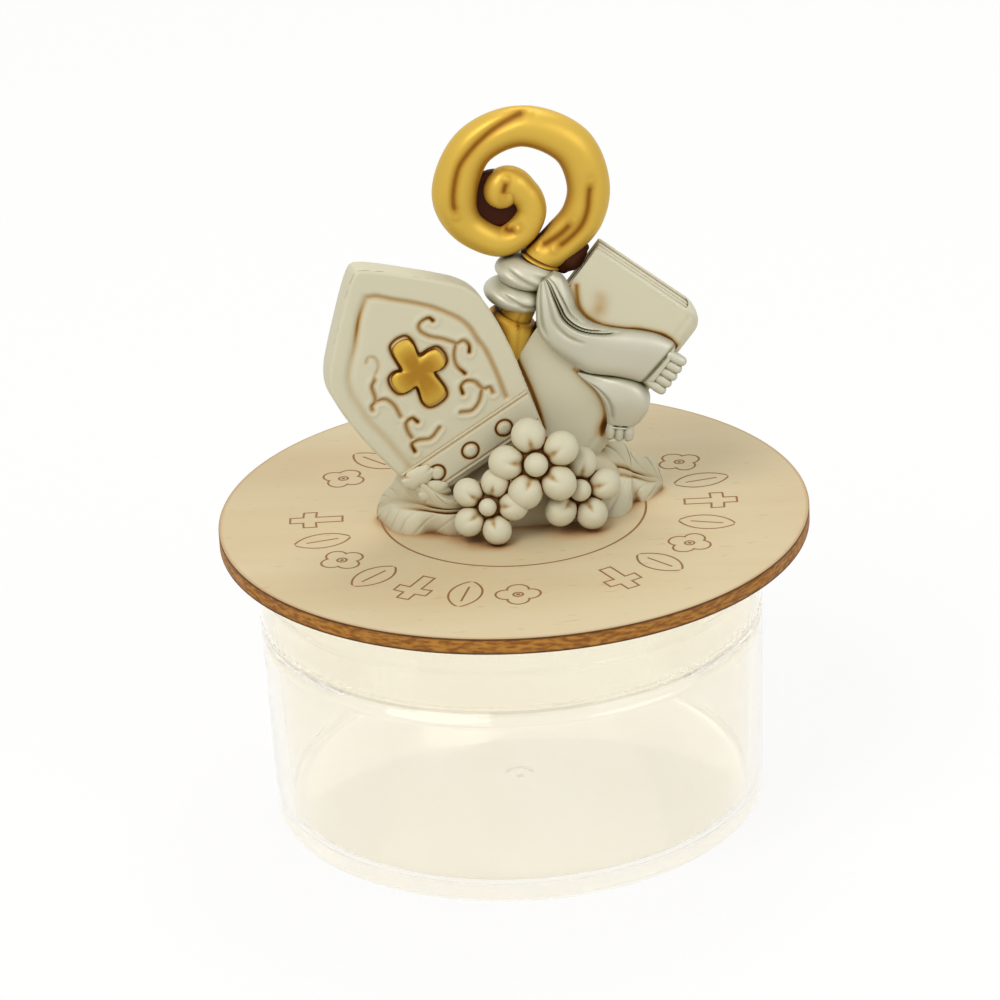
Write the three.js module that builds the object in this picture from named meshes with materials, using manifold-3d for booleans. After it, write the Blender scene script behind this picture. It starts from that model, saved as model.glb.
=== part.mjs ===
// A round clear keepsake box with a plywood disc and a cast church emblem on its lid.
// Millimetres, +Z up. The origin is the middle of the box's flat underside.
import * as THREE from 'three';
import { mergeVertices } from 'three/addons/utils/BufferGeometryUtils.js';
import Module from 'manifold-3d';

const wasm = await Module();
wasm.setup();

// Clear box and its push-on cap
const boxRadius = 30;
const boxHeight = 35;
const footDraft = 0.6;
const footRound = 1.2;
const floorThickness = 1.8;
const floorFillet = 2;
const bodyWall = 1.4;
const neckWall = 1.15;
const neckFillet = 0.4;
const skirtHeight = 10;
const capWall = 1.15;
const capTop = 1.5;
const capRound = 0.6;
const capFit = 0.4;
const seatGap = 0.3;
const beadRise = 4.5;
const beadHalf = 0.6;
const beadProud = 0.2;
const gateRadius = 1.95;
const roundSides = 60;

// Plywood disc
const discRadius = 35;
const discThickness = 2;
const discEase = 0.12;
const discShift = 0.8;
const scoredRadius = 15.7;
const scoreWidth = 0.3;
const scoreDepth = 0.15;
const discSides = 60;

// Casting: the clearance between one modelled element and the next, and the finest facet kept
const seam = 0.3;
const grain = 0.02;

// Mitre, in its own plane: x across, y up its own axis, z towards the viewer
const mitreFoot = { x: -2.28, height: 7.82, depth: 4 };
const mitreYaw = 14;
const mitreRoll = 28;
const mitreHeight = 30.2;
const mitreHalfFoot = 8.2;
const mitreHalfWidth = 10.35;
const mitreShoulder = 15.2;
const mitreThickness = 4.2;
const faceRound = 0.45;
const backRound = 1.3;
const mitreTipRadius = 0.5;
const outlineSteps = 11;
const frameInset = 2.4;
const frameWidth = 0.5;
const frameDepth = 0.35;
const bandRise = 0.75;
const bandHeight = 4.4;
const bandHalfWidth = 7.7;
const bandThickness = 1;
const bandProud = 0.25;
const studRadius = 0.75;
const studSpacing = 4.73;
const studHeight = 2.7;
const markShift = -0.5;
const crossHeight = 15;
const crossReach = 4.55;
const crossArm = 3.4;
const crossHalfWidth = 1.35;
const crossThickness = 1.1;
const crossProud = 0.35;

// Crozier: the middle of its curl, its tube and its shaft
const curlCentre = { x: 3.25, height: 40.1, depth: -1.5 };
const curlRadius = 7.6;
const tubeRadius = 2.55;
const tipRadius = 1.8;
const webRadius = 2.3;
const webThickness = 1.4;
const fluteDepth = 0.4;
const neckAt = { x: 2.35, y: -8.55 };
const shaftLean = 26;
const shaftRadius = 2;
const shaftSwell = 3;
const shaftLength = 26;
const ferruleRadius = 2.5;
const ferruleHeight = 0.9;

// Stole: two wraps round the shaft and two tails with fringes
const upperWrapRadius = 3.75;
const upperWrapHeight = 3.2;
const lowerWrapRadius = 3.85;
const lowerWrapHeight = 3;
const wrapShift = -0.9;
const wrapTilt = 11;
const tailThickness = 1.7;
const spineInset = 0.95;
const stoleDrop = 6.9;
const tuftRadius = 0.42;
const tuftLength = 1.8;

// Book, in its own plane: x across its cover, y up its spine, z towards the viewer
const bookAcross = 7.12;
const bookDrop = 21.67;
const bookForward = 2.87;
const bookYaw = -6;
const bookRoll = -37;
const bookWidth = 15.35;
const bookHeight = 25.2;
const bookThickness = 4;
const boardThickness = 0.8;
const pageInset = 0.8;

// Flowers, leaves and the mound they grow from
const petalRadius = 2;
const petalRing = 3.45;
const heartRadius = 1.45;
const flowerLean = 20;
const largeFlowerAt = { x: 3.65, height: 9.1, depth: 7.5 };
const rightFlowerAt = { x: 8.5, height: 4.9, depth: 6 };
const leftFlowerAt = { x: -2.1, height: 4.4, depth: 8.4 };
const leafSteps = 13;
const leafEdge = 0.8;
const veinWidth = 0.3;
const moundCentre = { x: 1.5, depth: -1 };
const moundHeight = 9;
const moundLength = 24;
const moundDepth = 12;

const bookCentre = {
  x: curlCentre.x + bookAcross,
  height: curlCentre.height - bookDrop,
  depth: curlCentre.depth + bookForward,
};
const footRadius = boxRadius - footDraft;
const skirtEdge = boxHeight - skirtHeight;
const neckTop = boxHeight - capTop - seatGap;
const beadHeight = skirtEdge + beadRise;
const discTop = boxHeight + discThickness;
const capBore = boxRadius - capWall;
const neckRadius = capBore - capFit;
const shoulder = skirtEdge - seatGap;

const colours = {
  clear: { color: 0xf4ecd8, roughness: 0.08, metalness: 0, transparent: true, opacity: 0.35 },
  plywood: { color: 0xe6cfa4, roughness: 0.75, metalness: 0 },
  ivory: { color: 0xe4dfcb, roughness: 0.55, metalness: 0 },
  gold: { color: 0xc79b32, roughness: 0.38, metalness: 0.8 },
  silver: { color: 0xc9cbc2, roughness: 0.42, metalness: 0.45 },
};

function finish(kind) {
  return new THREE.MeshStandardMaterial(colours[kind]);
}

// Booleans: a mesh in and out of a solid, and cuts that keep a clearance round a neighbour
function solidOf(geometry) {
  const bare = geometry.clone();
  bare.deleteAttribute('normal');
  bare.deleteAttribute('uv');
  const merged = mergeVertices(bare, 1e-4);
  const vertProperties = new Float32Array(merged.attributes.position.array);
  const triVerts = new Uint32Array(merged.index.array);
  return new wasm.Manifold(new wasm.Mesh({ numProp: 3, vertProperties, triVerts, tolerance: grain }));
}

function geometryOf(solid) {
  const mesh = solid.getMesh();
  const geometry = new THREE.BufferGeometry();
  geometry.setAttribute('position', new THREE.BufferAttribute(mesh.vertProperties, 3));
  geometry.setIndex(new THREE.BufferAttribute(mesh.triVerts, 1));
  return geometry;
}

function joined(geometries) {
  const solids = geometries.map(solidOf);
  return geometryOf(solids.reduce((whole, next) => whole.add(next)));
}

// The same form, grown by a clearance on every face
function swollen(geometry, clearance) {
  const bare = geometry.clone();
  bare.deleteAttribute('normal');
  bare.deleteAttribute('uv');
  const merged = mergeVertices(bare, 1e-4);
  const place = merged.attributes.position;
  const index = merged.index.array;
  const sums = Array.from({ length: place.count }, () => new THREE.Vector3());
  const faces = Array.from({ length: place.count }, () => []);
  const corner = [new THREE.Vector3(), new THREE.Vector3(), new THREE.Vector3()];
  for (let i = 0; i < index.length; i += 3) {
    corner.forEach((point, k) => point.fromBufferAttribute(place, index[i + k]));
    const normal = new THREE.Triangle(...corner).getNormal(new THREE.Vector3());
    for (let k = 0; k < 3; k += 1) {
      const before = corner[(k + 2) % 3].clone().sub(corner[k]);
      const after = corner[(k + 1) % 3].clone().sub(corner[k]);
      sums[index[i + k]].addScaledVector(normal, before.angleTo(after));
      faces[index[i + k]].push(normal);
    }
  }
  for (let i = 0; i < place.count; i += 1) {
    const outward = sums[i].normalize();
    const least = Math.min(...faces[i].map((normal) => normal.dot(outward)));
    const reach = clearance / Math.max(least, 0.5);
    place.setXYZ(
      i,
      place.getX(i) + outward.x * reach,
      place.getY(i) + outward.y * reach,
      place.getZ(i) + outward.z * reach,
    );
  }
  return merged;
}

// The one body left by a cut, without slivers finer than the grain
function biggest(solid) {
  const parts = solid.simplify(grain).decompose();
  return parts.reduce((best, next) => (next.volume() > best.volume() ? next : best));
}

// Cuts a mesh back from its neighbours, each in its own place in the scene
function clear(mesh, neighbours) {
  mesh.updateWorldMatrix(true, false);
  const inward = mesh.matrixWorld.clone().invert();
  let solid = solidOf(mesh.geometry);
  for (const neighbour of neighbours) {
    neighbour.updateWorldMatrix(true, false);
    const tool = swollen(neighbour.geometry, seam);
    tool.applyMatrix4(neighbour.matrixWorld).applyMatrix4(inward);
    solid = solid.subtract(solidOf(tool));
  }
  mesh.geometry = geometryOf(biggest(solid));
}

// A closed body through rings of points, each counter-clockwise about the way the rings run
function loft(rings) {
  const sides = rings[0].length;
  const points = rings.flat();
  const centres = [rings[0], rings.at(-1)].map((ring) => {
    const sum = ring.reduce((total, point) => total.add(point), new THREE.Vector3());
    return sum.divideScalar(sides);
  });
  points.push(...centres);
  const first = points.length - 2;
  const last = points.length - 1;
  const index = [];
  for (let j = 0; j < sides; j += 1) {
    const next = (j + 1) % sides;
    index.push(first, next, j);
    const top = (rings.length - 1) * sides;
    index.push(last, top + j, top + next);
    for (let i = 0; i < rings.length - 1; i += 1) {
      const low = i * sides;
      const high = low + sides;
      index.push(low + j, low + next, high + next);
      index.push(low + j, high + next, high + j);
    }
  }
  const geometry = new THREE.BufferGeometry().setFromPoints(points);
  geometry.setIndex(index);
  return geometry;
}

// A body swept along a curve. section(t) gives its outline as [across, up] pairs
function sweep(curve, from, to, steps, up, section) {
  const rings = [];
  for (let i = 0; i <= steps; i += 1) {
    const t = from + ((to - from) * i) / steps;
    const along = curve.getTangent(t);
    const rise = up.clone().addScaledVector(along, -up.dot(along)).normalize();
    const across = rise.clone().cross(along);
    const middle = curve.getPoint(t);
    rings.push(section(t).map(([a, b]) => middle.clone().addScaledVector(across, a).addScaledVector(rise, b)));
  }
  return loft(rings);
}

function smoothPath(points) {
  return new THREE.CatmullRomCurve3(points.map((point) => new THREE.Vector3(...point)), false, 'centripetal');
}

// A value that runs smoothly through a list of equally spaced ones
function along(values, t) {
  const place = t * (values.length - 1);
  const low = Math.min(Math.floor(place), values.length - 2);
  return THREE.MathUtils.lerp(values[low], values[low + 1], THREE.MathUtils.smoothstep(place - low, 0, 1));
}

function turned(profile, sides) {
  const points = profile.map(([radius, height]) => new THREE.Vector2(radius, height));
  return new THREE.LatheGeometry(points, sides).rotateX(Math.PI / 2);
}

// Points of a quarter round from one angle to another, in degrees
function roundCorner(radius, height, size, from, to, steps) {
  return Array.from({ length: steps + 1 }, (_, i) => {
    const angle = THREE.MathUtils.degToRad(from + ((to - from) * i) / steps);
    return [radius + size * Math.cos(angle), height + size * Math.sin(angle)];
  });
}

function piece(name, geometry, kind) {
  const mesh = new THREE.Mesh(geometry, finish(kind));
  mesh.name = name;
  return mesh;
}

const keepsakeBox = new THREE.Group();

// The cup: a moulded body with a draft, a rebated neck and a snap bead
function makeCup() {
  const inner = boxRadius - bodyWall;
  const boreAtNeck = neckRadius - neckWall;
  const boreAtFloor = footRadius - bodyWall;
  const profile = [
    [0, 0],
    ...roundCorner(footRadius - footRound, footRound, footRound, -90, 0, 3),
    [boxRadius, shoulder],
    [neckRadius, shoulder],
    [neckRadius, beadHeight - beadHalf],
    [neckRadius + beadProud, beadHeight],
    [neckRadius, beadHeight + beadHalf],
    [neckRadius, neckTop - neckFillet],
    [neckRadius - neckFillet, neckTop],
    [boreAtNeck, neckTop],
    [boreAtNeck, shoulder],
    [inner, shoulder - bodyWall],
    [boreAtFloor, floorThickness + floorFillet],
    ...roundCorner(boreAtFloor - floorFillet, floorThickness + floorFillet, floorFillet, -30, -90, 2),
    [gateRadius, floorThickness],
    [gateRadius - 0.3, floorThickness - 0.15],
    [0.45, floorThickness - 0.15],
    [0, floorThickness + 0.3],
  ];
  return piece('box_body', turned(profile, roundSides), 'clear');
}

// The cap: a flat top and a skirt that comes down flush with the cup
function makeCap() {
  const profile = [
    [0, boxHeight - capTop],
    [capBore - capRound, boxHeight - capTop],
    [capBore, boxHeight - capTop - capRound],
    [capBore, skirtEdge + 0.3],
    [capBore + 0.3, skirtEdge],
    [boxRadius - 0.15, skirtEdge],
    [boxRadius, skirtEdge + 0.15],
    ...roundCorner(boxRadius - capRound, boxHeight - capRound, capRound, 0, 90, 2),
    [0, boxHeight],
  ];
  return piece('box_lid', turned(profile, roundSides), 'clear');
}

// The plywood disc, laser cut, with one scored ring
function makeDisc() {
  const profile = [
    [0, boxHeight],
    [discRadius - discEase, boxHeight],
    [discRadius, boxHeight + discEase],
    [discRadius, discTop - discEase],
    [discRadius - discEase, discTop],
    [scoredRadius + scoreWidth / 2, discTop],
    [scoredRadius, discTop - scoreDepth],
    [scoredRadius - scoreWidth / 2, discTop],
    [0, discTop],
  ];
  const disc = piece('wood_disc', turned(profile, discSides), 'plywood');
  disc.position.x = discShift;
  return disc;
}

keepsakeBox.add(makeCup(), makeCap(), makeDisc());

// The casting stands on the disc. Inside this group y is up and z comes towards the viewer
const emblem = new THREE.Group();
emblem.position.z = discTop;
emblem.rotation.x = Math.PI / 2;
keepsakeBox.add(emblem);

function stand(at, yaw, lean, roll) {
  const group = new THREE.Group();
  group.position.set(at.x, at.height, at.depth);
  const [turn, tilt, slant] = [yaw, -lean, roll].map(THREE.MathUtils.degToRad);
  group.rotation.set(tilt, turn, slant, 'YXZ');
  emblem.add(group);
  return group;
}

// A five-petalled flower: round petals on a ring, a ball at the heart and a pad behind
function makeFlower(name, at, yaw, lean, start, size) {
  const group = stand(at, yaw, lean, start);
  const ring = petalRing * size;
  const parts = [
    new THREE.SphereGeometry(heartRadius * size, 8, 5).translate(0, 0, 0.9),
    new THREE.SphereGeometry(ring, 10, 4).scale(1, 1, 0.3).translate(0, 0, -0.7),
  ];
  for (let k = 0; k < 5; k += 1) {
    const petal = new THREE.SphereGeometry(petalRadius * size, 8, 6);
    petal.scale(1.08, 1, 0.85).translate(ring, 0, 0);
    petal.rotateZ((k * 2 * Math.PI) / 5);
    parts.push(petal);
  }
  const flower = piece(name, joined(parts), 'ivory');
  group.add(flower);
  return flower;
}

// The pointed outline of one lobe of the mitre, drawn in by an inset
function lobeOutline(inset) {
  const side = smoothPath([
    [mitreHalfFoot, 0, 0],
    [mitreHalfWidth * 0.92, mitreShoulder * 0.5, 0],
    [mitreHalfWidth, mitreShoulder, 0],
    [mitreHalfWidth * 0.93, THREE.MathUtils.lerp(mitreShoulder, mitreHeight, 0.27), 0],
    [mitreHalfWidth * 0.5, THREE.MathUtils.lerp(mitreShoulder, mitreHeight, 0.61), 0],
    [mitreTipRadius, mitreHeight - mitreTipRadius, 0],
  ]).getSpacedPoints(outlineSteps);
  const right = side.map((point, i) => {
    const ahead = side[Math.min(i + 1, outlineSteps)];
    const behind = side[Math.max(i - 1, 0)];
    const run = ahead.clone().sub(behind).normalize();
    return [point.x - run.y * inset, point.y + run.x * inset];
  });
  const within = right.filter(([x, y]) => x > mitreTipRadius && y > inset);
  const [tipX, tipY] = within.at(-1);
  const foot = mitreHalfFoot - inset;
  const half = [[foot, inset], ...within, [tipX * 0.3, tipY + tipX * 0.8]];
  const apex = [0, tipY + tipX * 0.95];
  const mirrored = half.map(([x, y]) => [-x, y]).reverse();
  return new THREE.Shape([...half, apex, ...mirrored].map(([x, y]) => new THREE.Vector2(x, y)));
}

function slab(outline, back, front, bevel, curveSegments) {
  const geometry = new THREE.ExtrudeGeometry(outline, {
    depth: front - back - 2 * bevel,
    bevelEnabled: bevel > 0,
    bevelThickness: bevel,
    bevelSize: bevel,
    bevelOffset: -bevel,
    bevelSegments: 2,
    curveSegments,
  });
  return geometry.translate(0, 0, back + bevel);
}

function crossOutline() {
  const half = crossHalfWidth;
  const inner = crossHalfWidth * 0.8;
  const outline = new THREE.Shape();
  const arms = [[crossReach, 90], [crossArm, 180], [crossReach, 270], [crossArm, 0]];
  arms.forEach(([reach, heading], i) => {
    const turn = THREE.MathUtils.degToRad(heading);
    const place = (x, y) => [x * Math.cos(turn) - y * Math.sin(turn), x * Math.sin(turn) + y * Math.cos(turn)];
    const corners = [
      place(inner, -inner),
      place(reach - 0.8, -half),
      place(reach, -half * 0.6),
      place(reach, half * 0.6),
      place(reach - 0.8, half),
    ];
    corners.forEach((corner, k) => (i + k === 0 ? outline.moveTo(...corner) : outline.lineTo(...corner)));
  });
  return outline;
}

// The body of the mitre, convex all over: its outline drawn in a little at the face, more at the back
function mitreBody() {
  const layers = [
    [0, faceRound],
    [-0.3 * faceRound, 0.3 * faceRound],
    [-faceRound, 0],
    [backRound - mitreThickness, 0],
    [0.3 * backRound - mitreThickness, 0.3 * backRound],
    [-mitreThickness, backRound],
  ];
  const layer = ([depth, inset]) => lobeOutline(inset).getPoints().map(({ x, y }) => [x, y, depth]);
  return geometryOf(wasm.Manifold.hull(layers.flatMap(layer)));
}

// The mitre: a thick pointed slab with a sunk frame line, a band with studs and a cross
function makeMitre() {
  const group = stand(mitreFoot, mitreYaw, 0, mitreRoll);
  const mitre = piece('mitre', mitreBody(), 'ivory');

  const sunk = slab(lobeOutline(frameInset), -frameDepth, 1, 0, 5);
  const kept = slab(lobeOutline(frameInset + frameWidth), -2, 2, 0, 5);
  const below = new THREE.BoxGeometry(30, 2 * (bandRise + bandHeight), 6);
  const line = solidOf(sunk).subtract(solidOf(kept)).subtract(solidOf(below));
  mitre.geometry = geometryOf(solidOf(mitre.geometry).subtract(line));

  const strip = new THREE.BoxGeometry(2 * bandHalfWidth, bandHeight, bandThickness);
  strip.translate(0, bandRise + bandHeight / 2, bandProud - bandThickness / 2);
  const band = piece('mitre_band', strip, 'ivory');

  const studs = [-1, 0, 1].map((k) => {
    const dot = new THREE.CylinderGeometry(studRadius, studRadius, bandThickness / 2, 12).rotateX(Math.PI / 2);
    dot.translate(markShift + k * studSpacing, studHeight, bandProud - bandThickness / 4 + 0.05);
    return piece(`mitre_stud_${k + 2}`, dot, 'ivory');
  });

  const cross = piece(
    'mitre_cross',
    slab(crossOutline(), crossProud - crossThickness, crossProud, 0.2, 1).translate(markShift, crossHeight, 0),
    'gold',
  );
  group.add(mitre, band, ...studs, cross);
  clear(band, studs);
  clear(mitre, [band, cross]);
  return mitre;
}

// The crozier's curl: a fluted tube that winds in to a ball, in two joined runs
const curlPath = smoothPath([
  [neckAt.x, neckAt.y, 0],
  [4.7, -6.6, 0],
  [7.1, -3.9, 0],
  [curlRadius + 0.4, 0, 0],
  [6.2, 5, 0],
  [0.5, curlRadius, 0],
  [-5.1, 5.3, 0],
  [-curlRadius, 0, 0],
  [-6.4, -4, 0],
  [-3.4, -6.2, 0],
  [0, -5.2, 0],
  [1.3, -2.9, 0],
  [0.8, -0.8, 0],
  [-0.7, 0.8, 0],
  [-2, 0.4, 0],
  [-2.2, -0.5, 0],
]);

function curlSection(t) {
  const radius = along([2.2, tubeRadius, tubeRadius, 2.4, 2.3, 1.9, 1.75, tipRadius], t);
  const depth = fluteDepth * along([1, 1, 0.1, 1, 1, 0.6, 0, 0], t);
  return Array.from({ length: 12 }, (_, k) => {
    const angle = (k * 2 * Math.PI) / 12;
    const flute = depth * Math.exp(-((Math.cos(angle) / 0.3) ** 2));
    return [(radius - flute) * Math.cos(angle), (radius - flute) * Math.sin(angle)];
  });
}

function makeCrozier() {
  const group = stand(curlCentre, 0, 0, 0);
  const toViewer = new THREE.Vector3(0, 0, 1);
  const outer = sweep(curlPath, 0, 0.5, 22, toViewer, curlSection);
  const inner = sweep(curlPath, 0.5, 1, 22, toViewer, curlSection);
  const ball = new THREE.SphereGeometry(tipRadius * 1.05, 8, 6);
  const curlEnd = curlPath.getPoint(1);
  ball.translate(...curlEnd.toArray());
  const web = new THREE.CylinderGeometry(webRadius, webRadius, webThickness, 12).rotateX(Math.PI / 2);
  web.translate(curlEnd.x - 0.5, curlEnd.y - 1, -0.2);
  const curl = piece('crozier_curl', joined([outer, inner, ball, web]), 'gold');

  const neck = new THREE.Group();
  neck.position.set(neckAt.x, neckAt.y, 0);
  neck.rotation.z = THREE.MathUtils.degToRad(-shaftLean);
  const ringGeometry = new THREE.CylinderGeometry(ferruleRadius, ferruleRadius * 0.96, ferruleHeight, 20);
  const ferrule = piece('crozier_ferrule', ringGeometry, 'gold');
  ferrule.position.y = -ferruleHeight / 2;
  const shaftTop = -ferruleHeight - seam;
  const swellTop = shaftTop - upperWrapHeight - lowerWrapHeight - 2 * seam;
  const shaftProfile = [
    [0, shaftTop - shaftLength],
    [shaftSwell, shaftTop - shaftLength],
    [shaftSwell, swellTop - 1],
    [shaftSwell - 0.5, swellTop],
    [shaftRadius, swellTop],
    [shaftRadius, shaftTop],
    [0, shaftTop],
  ];
  const shaftPoints = shaftProfile.map(([radius, height]) => new THREE.Vector2(radius, height));
  const shaft = piece('crozier_shaft', new THREE.LatheGeometry(shaftPoints, 16), 'gold');
  neck.add(ferrule, shaft);
  group.add(curl, neck);
  clear(curl, [ferrule]);
  return { curl, ferrule, shaft, neck };
}

// One wrap of the stole: a barrel with soft folds, a little tilted, and a bore for the shaft
function makeWrap(name, neck, top, radius, height, folds) {
  const rows = 6;
  const profile = Array.from({ length: rows + 1 }, (_, i) => {
    const up = i / rows;
    const barrel = Math.sin(Math.PI * THREE.MathUtils.lerp(0.2, 0.8, up)) ** 0.6;
    const fold = 1 - 0.05 * Math.cos(up * folds * 2 * Math.PI);
    return new THREE.Vector2(radius * barrel * fold, height * (up - 0.5));
  });
  const closed = [new THREE.Vector2(0, -height / 2), ...profile, new THREE.Vector2(0, height / 2)];
  const cloth = new THREE.LatheGeometry(closed, 16).rotateZ(THREE.MathUtils.degToRad(wrapTilt));
  cloth.translate(wrapShift, top - height / 2, 0);
  const bore = new THREE.CylinderGeometry(shaftRadius + seam, shaftRadius + seam, 3 * height, 16);
  bore.translate(0, top - height / 2, 0);
  const wrap = piece(name, geometryOf(solidOf(cloth).subtract(solidOf(bore))), 'silver');
  neck.add(wrap);
  return wrap;
}

// The book: two boards and a round spine on the right, and a block of pages
function makeBook() {
  const group = stand(bookCentre, bookYaw, 0, bookRoll);
  const halfWidth = bookWidth / 2;
  const back = -bookThickness;
  const spine = bookThickness / 2;
  const outline = new THREE.Shape();
  outline.moveTo(-halfWidth, 0);
  outline.lineTo(-halfWidth, -boardThickness);
  outline.lineTo(halfWidth - spine, -boardThickness);
  outline.absarc(halfWidth - spine, -spine, spine - boardThickness, Math.PI / 2, -Math.PI / 2, true);
  outline.lineTo(-halfWidth, back + boardThickness);
  outline.lineTo(-halfWidth, back);
  outline.lineTo(halfWidth - spine, back);
  outline.absarc(halfWidth - spine, -spine, spine, -Math.PI / 2, Math.PI / 2, false);
  outline.lineTo(-halfWidth, 0);
  const settings = { depth: bookHeight, bevelEnabled: false, curveSegments: 8 };
  const covers = new THREE.ExtrudeGeometry(outline, settings).rotateX(Math.PI / 2);
  covers.translate(0, bookHeight / 2, 0);
  const cover = piece('book_cover', covers, 'ivory');

  const block = new THREE.Shape();
  const blockFront = -boardThickness - seam;
  const blockBack = back + boardThickness + seam;
  const blockRadius = (blockFront - blockBack) / 2;
  block.moveTo(pageInset - halfWidth, blockFront);
  block.lineTo(pageInset - halfWidth, blockBack);
  block.lineTo(halfWidth - spine, blockBack);
  block.absarc(halfWidth - spine, -spine, blockRadius, -Math.PI / 2, Math.PI / 2, false);
  const pageHeight = bookHeight - 2 * pageInset;
  const pages = new THREE.ExtrudeGeometry(block, { ...settings, depth: pageHeight }).rotateX(Math.PI / 2);
  pages.translate(0, pageHeight / 2, 0);
  const leavesOfBook = piece('book_pages', pages, 'ivory');
  group.add(cover, leavesOfBook);
  return { group, cover, pages: leavesOfBook };
}

// A tail of the stole: a flat section with rolled folds, swept over the book
function makeTail(name, group, route, widths, folds) {
  const path = smoothPath(route);
  const section = (t) => {
    const width = along(widths, t);
    return Array.from({ length: 14 }, (_, k) => {
      const angle = ((k + 0.5) * 2 * Math.PI) / 14;
      const across = Math.cos(angle);
      const fold = Math.sin(angle) > 0 ? 1 + 0.3 * Math.cos(across * folds * Math.PI) : 0.75;
      return [(width / 2) * across, (tailThickness / 2) * Math.sin(angle) * fold];
    });
  };
  const geometry = sweep(path, 0, 1, 14, new THREE.Vector3(0, 0, 1), section);
  const tail = piece(name, geometry, 'silver');
  group.add(tail);
  return tail;
}

// A fringe: a hem cord with a row of tapered tufts
function makeFringe(name, group, at, heading, count, width) {
  const place = new THREE.Group();
  place.position.set(...at);
  place.rotation.z = THREE.MathUtils.degToRad(heading);
  const cord = new THREE.CylinderGeometry(0.5, 0.5, width, 8);
  const parts = [cord];
  for (let k = 0; k < count; k += 1) {
    const tuft = new THREE.CylinderGeometry(tuftRadius * 1.1, tuftRadius * 0.8, tuftLength, 8);
    const offset = ((k + 0.5) / count - 0.5) * (width - 0.2);
    parts.push(tuft.rotateZ(Math.PI / 2).translate(tuftLength / 2, offset, 0));
  }
  const fringe = piece(name, joined(parts), 'silver');
  place.add(fringe);
  group.add(place);
  return fringe;
}

// A broad leaf that leans back from its foot on the disc, with a sunk midrib and a lobed edge.
// Each station, from left to right, gives where it is and its front foot, back and top edge.
function makeLeaf(name, stations) {
  const line = smoothPath(stations.map(([x, front, back]) => [x, front, back]));
  const tops = smoothPath(stations.map(([x, , , top]) => [x, top, 0]));
  const rings = Array.from({ length: leafSteps + 1 }, (_, i) => {
    const t = i / leafSteps;
    const { x, y: front, z: back } = line.getPoint(t);
    const top = tops.getPoint(t).y;
    const middle = THREE.MathUtils.lerp(front, back, 0.45);
    const edge = Math.min(leafEdge, top * 0.5);
    const section = [
      [top, back],
      [top * 0.92, THREE.MathUtils.lerp(middle, back, 0.75)],
      [top * 0.58, middle - veinWidth],
      [top * 0.46, middle],
      [top * 0.52, middle + veinWidth],
      [top * 0.36, THREE.MathUtils.lerp(front, middle, 0.6)],
      [edge, front],
      [0, front],
      [0, back],
    ];
    return section.map(([height, depth]) => new THREE.Vector3(x, height, depth));
  });
  const leaf = piece(name, loft(rings), 'ivory');
  emblem.add(leaf);
  return leaf;
}

// The mound of the casting, which carries the mitre, the book and the flowers
function makeMound() {
  const rings = Array.from({ length: 6 }, (_, i) => {
    const rise = i / 5;
    const spread = Math.sqrt(1 - (rise * 0.86) ** 2);
    return Array.from({ length: 20 }, (_, k) => {
      const angle = (k * 2 * Math.PI) / 20;
      const x = moundCentre.x + rise * 2 + (moundLength / 2) * spread * Math.cos(angle);
      const z = moundCentre.depth - (moundDepth / 2) * spread * Math.sin(angle);
      return new THREE.Vector3(x, moundHeight * rise, z);
    });
  });
  const mound = piece('figure_base', loft(rings), 'ivory');
  emblem.add(mound);
  return mound;
}

const mitre = makeMitre();
const crozier = makeCrozier();
const book = makeBook();
const wrapTop = -ferruleHeight - seam;
const upperWrap = makeWrap('stole_wrap_upper', crozier.neck, wrapTop, upperWrapRadius, upperWrapHeight, 2);
const lowerTop = wrapTop - upperWrapHeight - seam;
const lowerWrap = makeWrap('stole_wrap_lower', crozier.neck, lowerTop, lowerWrapRadius, lowerWrapHeight, 2);
const onBook = new THREE.Group();
onBook.position.set(bookWidth / 2 - spineInset, -stoleDrop, 0);
book.group.add(onBook);
const lift = seam + tailThickness * 0.45;
const longTail = makeTail(
  'stole_tail_long',
  onBook,
  [[-15.5, 14.9, lift + 0.9], [-14.5, 11.9, lift + 0.6], [-12.4, 9.4, lift], [-9.4, 8.8, lift],
    [-6.2, 9.9, lift], [-3, 11.5, lift], [-0.6, 12.1, lift]],
  [3, 3.9, 5, 6, 6, 6, 5.4],
  2,
);
const shortTail = makeTail(
  'stole_tail_short',
  onBook,
  [[-7.5, 5.8, lift], [-5, 6.3, lift], [-3, 6.7, lift], [-1.2, 6.4, lift], [0.2, 5.2, lift], [0.5, 3.6, lift]],
  [0.6, 1.5, 3, 4.8, 4.6, 2.6],
  1,
);
const longFringe = makeFringe('stole_fringe_long', onBook, [0.2, 12.2, lift], 0, 5, 5);
const shortFringe = makeFringe('stole_fringe_short', onBook, [0.6, 3.2, lift], -60, 3, 2.6);
const largeFlower = makeFlower('flower_large', largeFlowerAt, 0, flowerLean, 30, 1);
const rightFlower = makeFlower('flower_right', rightFlowerAt, 12, flowerLean, 5, 0.9);
const leftFlower = makeFlower('flower_left', leftFlowerAt, -8, flowerLean, 2, 0.84);
const leftLeaf = makeLeaf('leaf_left', [
  [-15.1, 0.5, -0.5, 0.8],
  [-14.2, 2.8, -1.1, 2.5],
  [-13, 4.8, -1.5, 4.6],
  [-11.2, 5.7, -1.6, 5.7],
  [-8.9, 4.9, -1.6, 6.2],
  [-6.7, 5.9, -1.6, 6.4],
  [-3, 5.5, -1.5, 5],
]);
const rightLeaf = makeLeaf('leaf_right', [
  [8.5, 2.2, -1.5, 6.2],
  [11.5, 1.2, -2, 6.8],
  [13, 1.9, -2.4, 7.1],
  [14.6, -0.3, -3, 6.4],
  [16.6, -2.2, -3.7, 4.8],
  [17.8, -3.4, -4.2, 2.7],
  [18.3, -4, -4.8, 1],
]);
const mound = makeMound();

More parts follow.
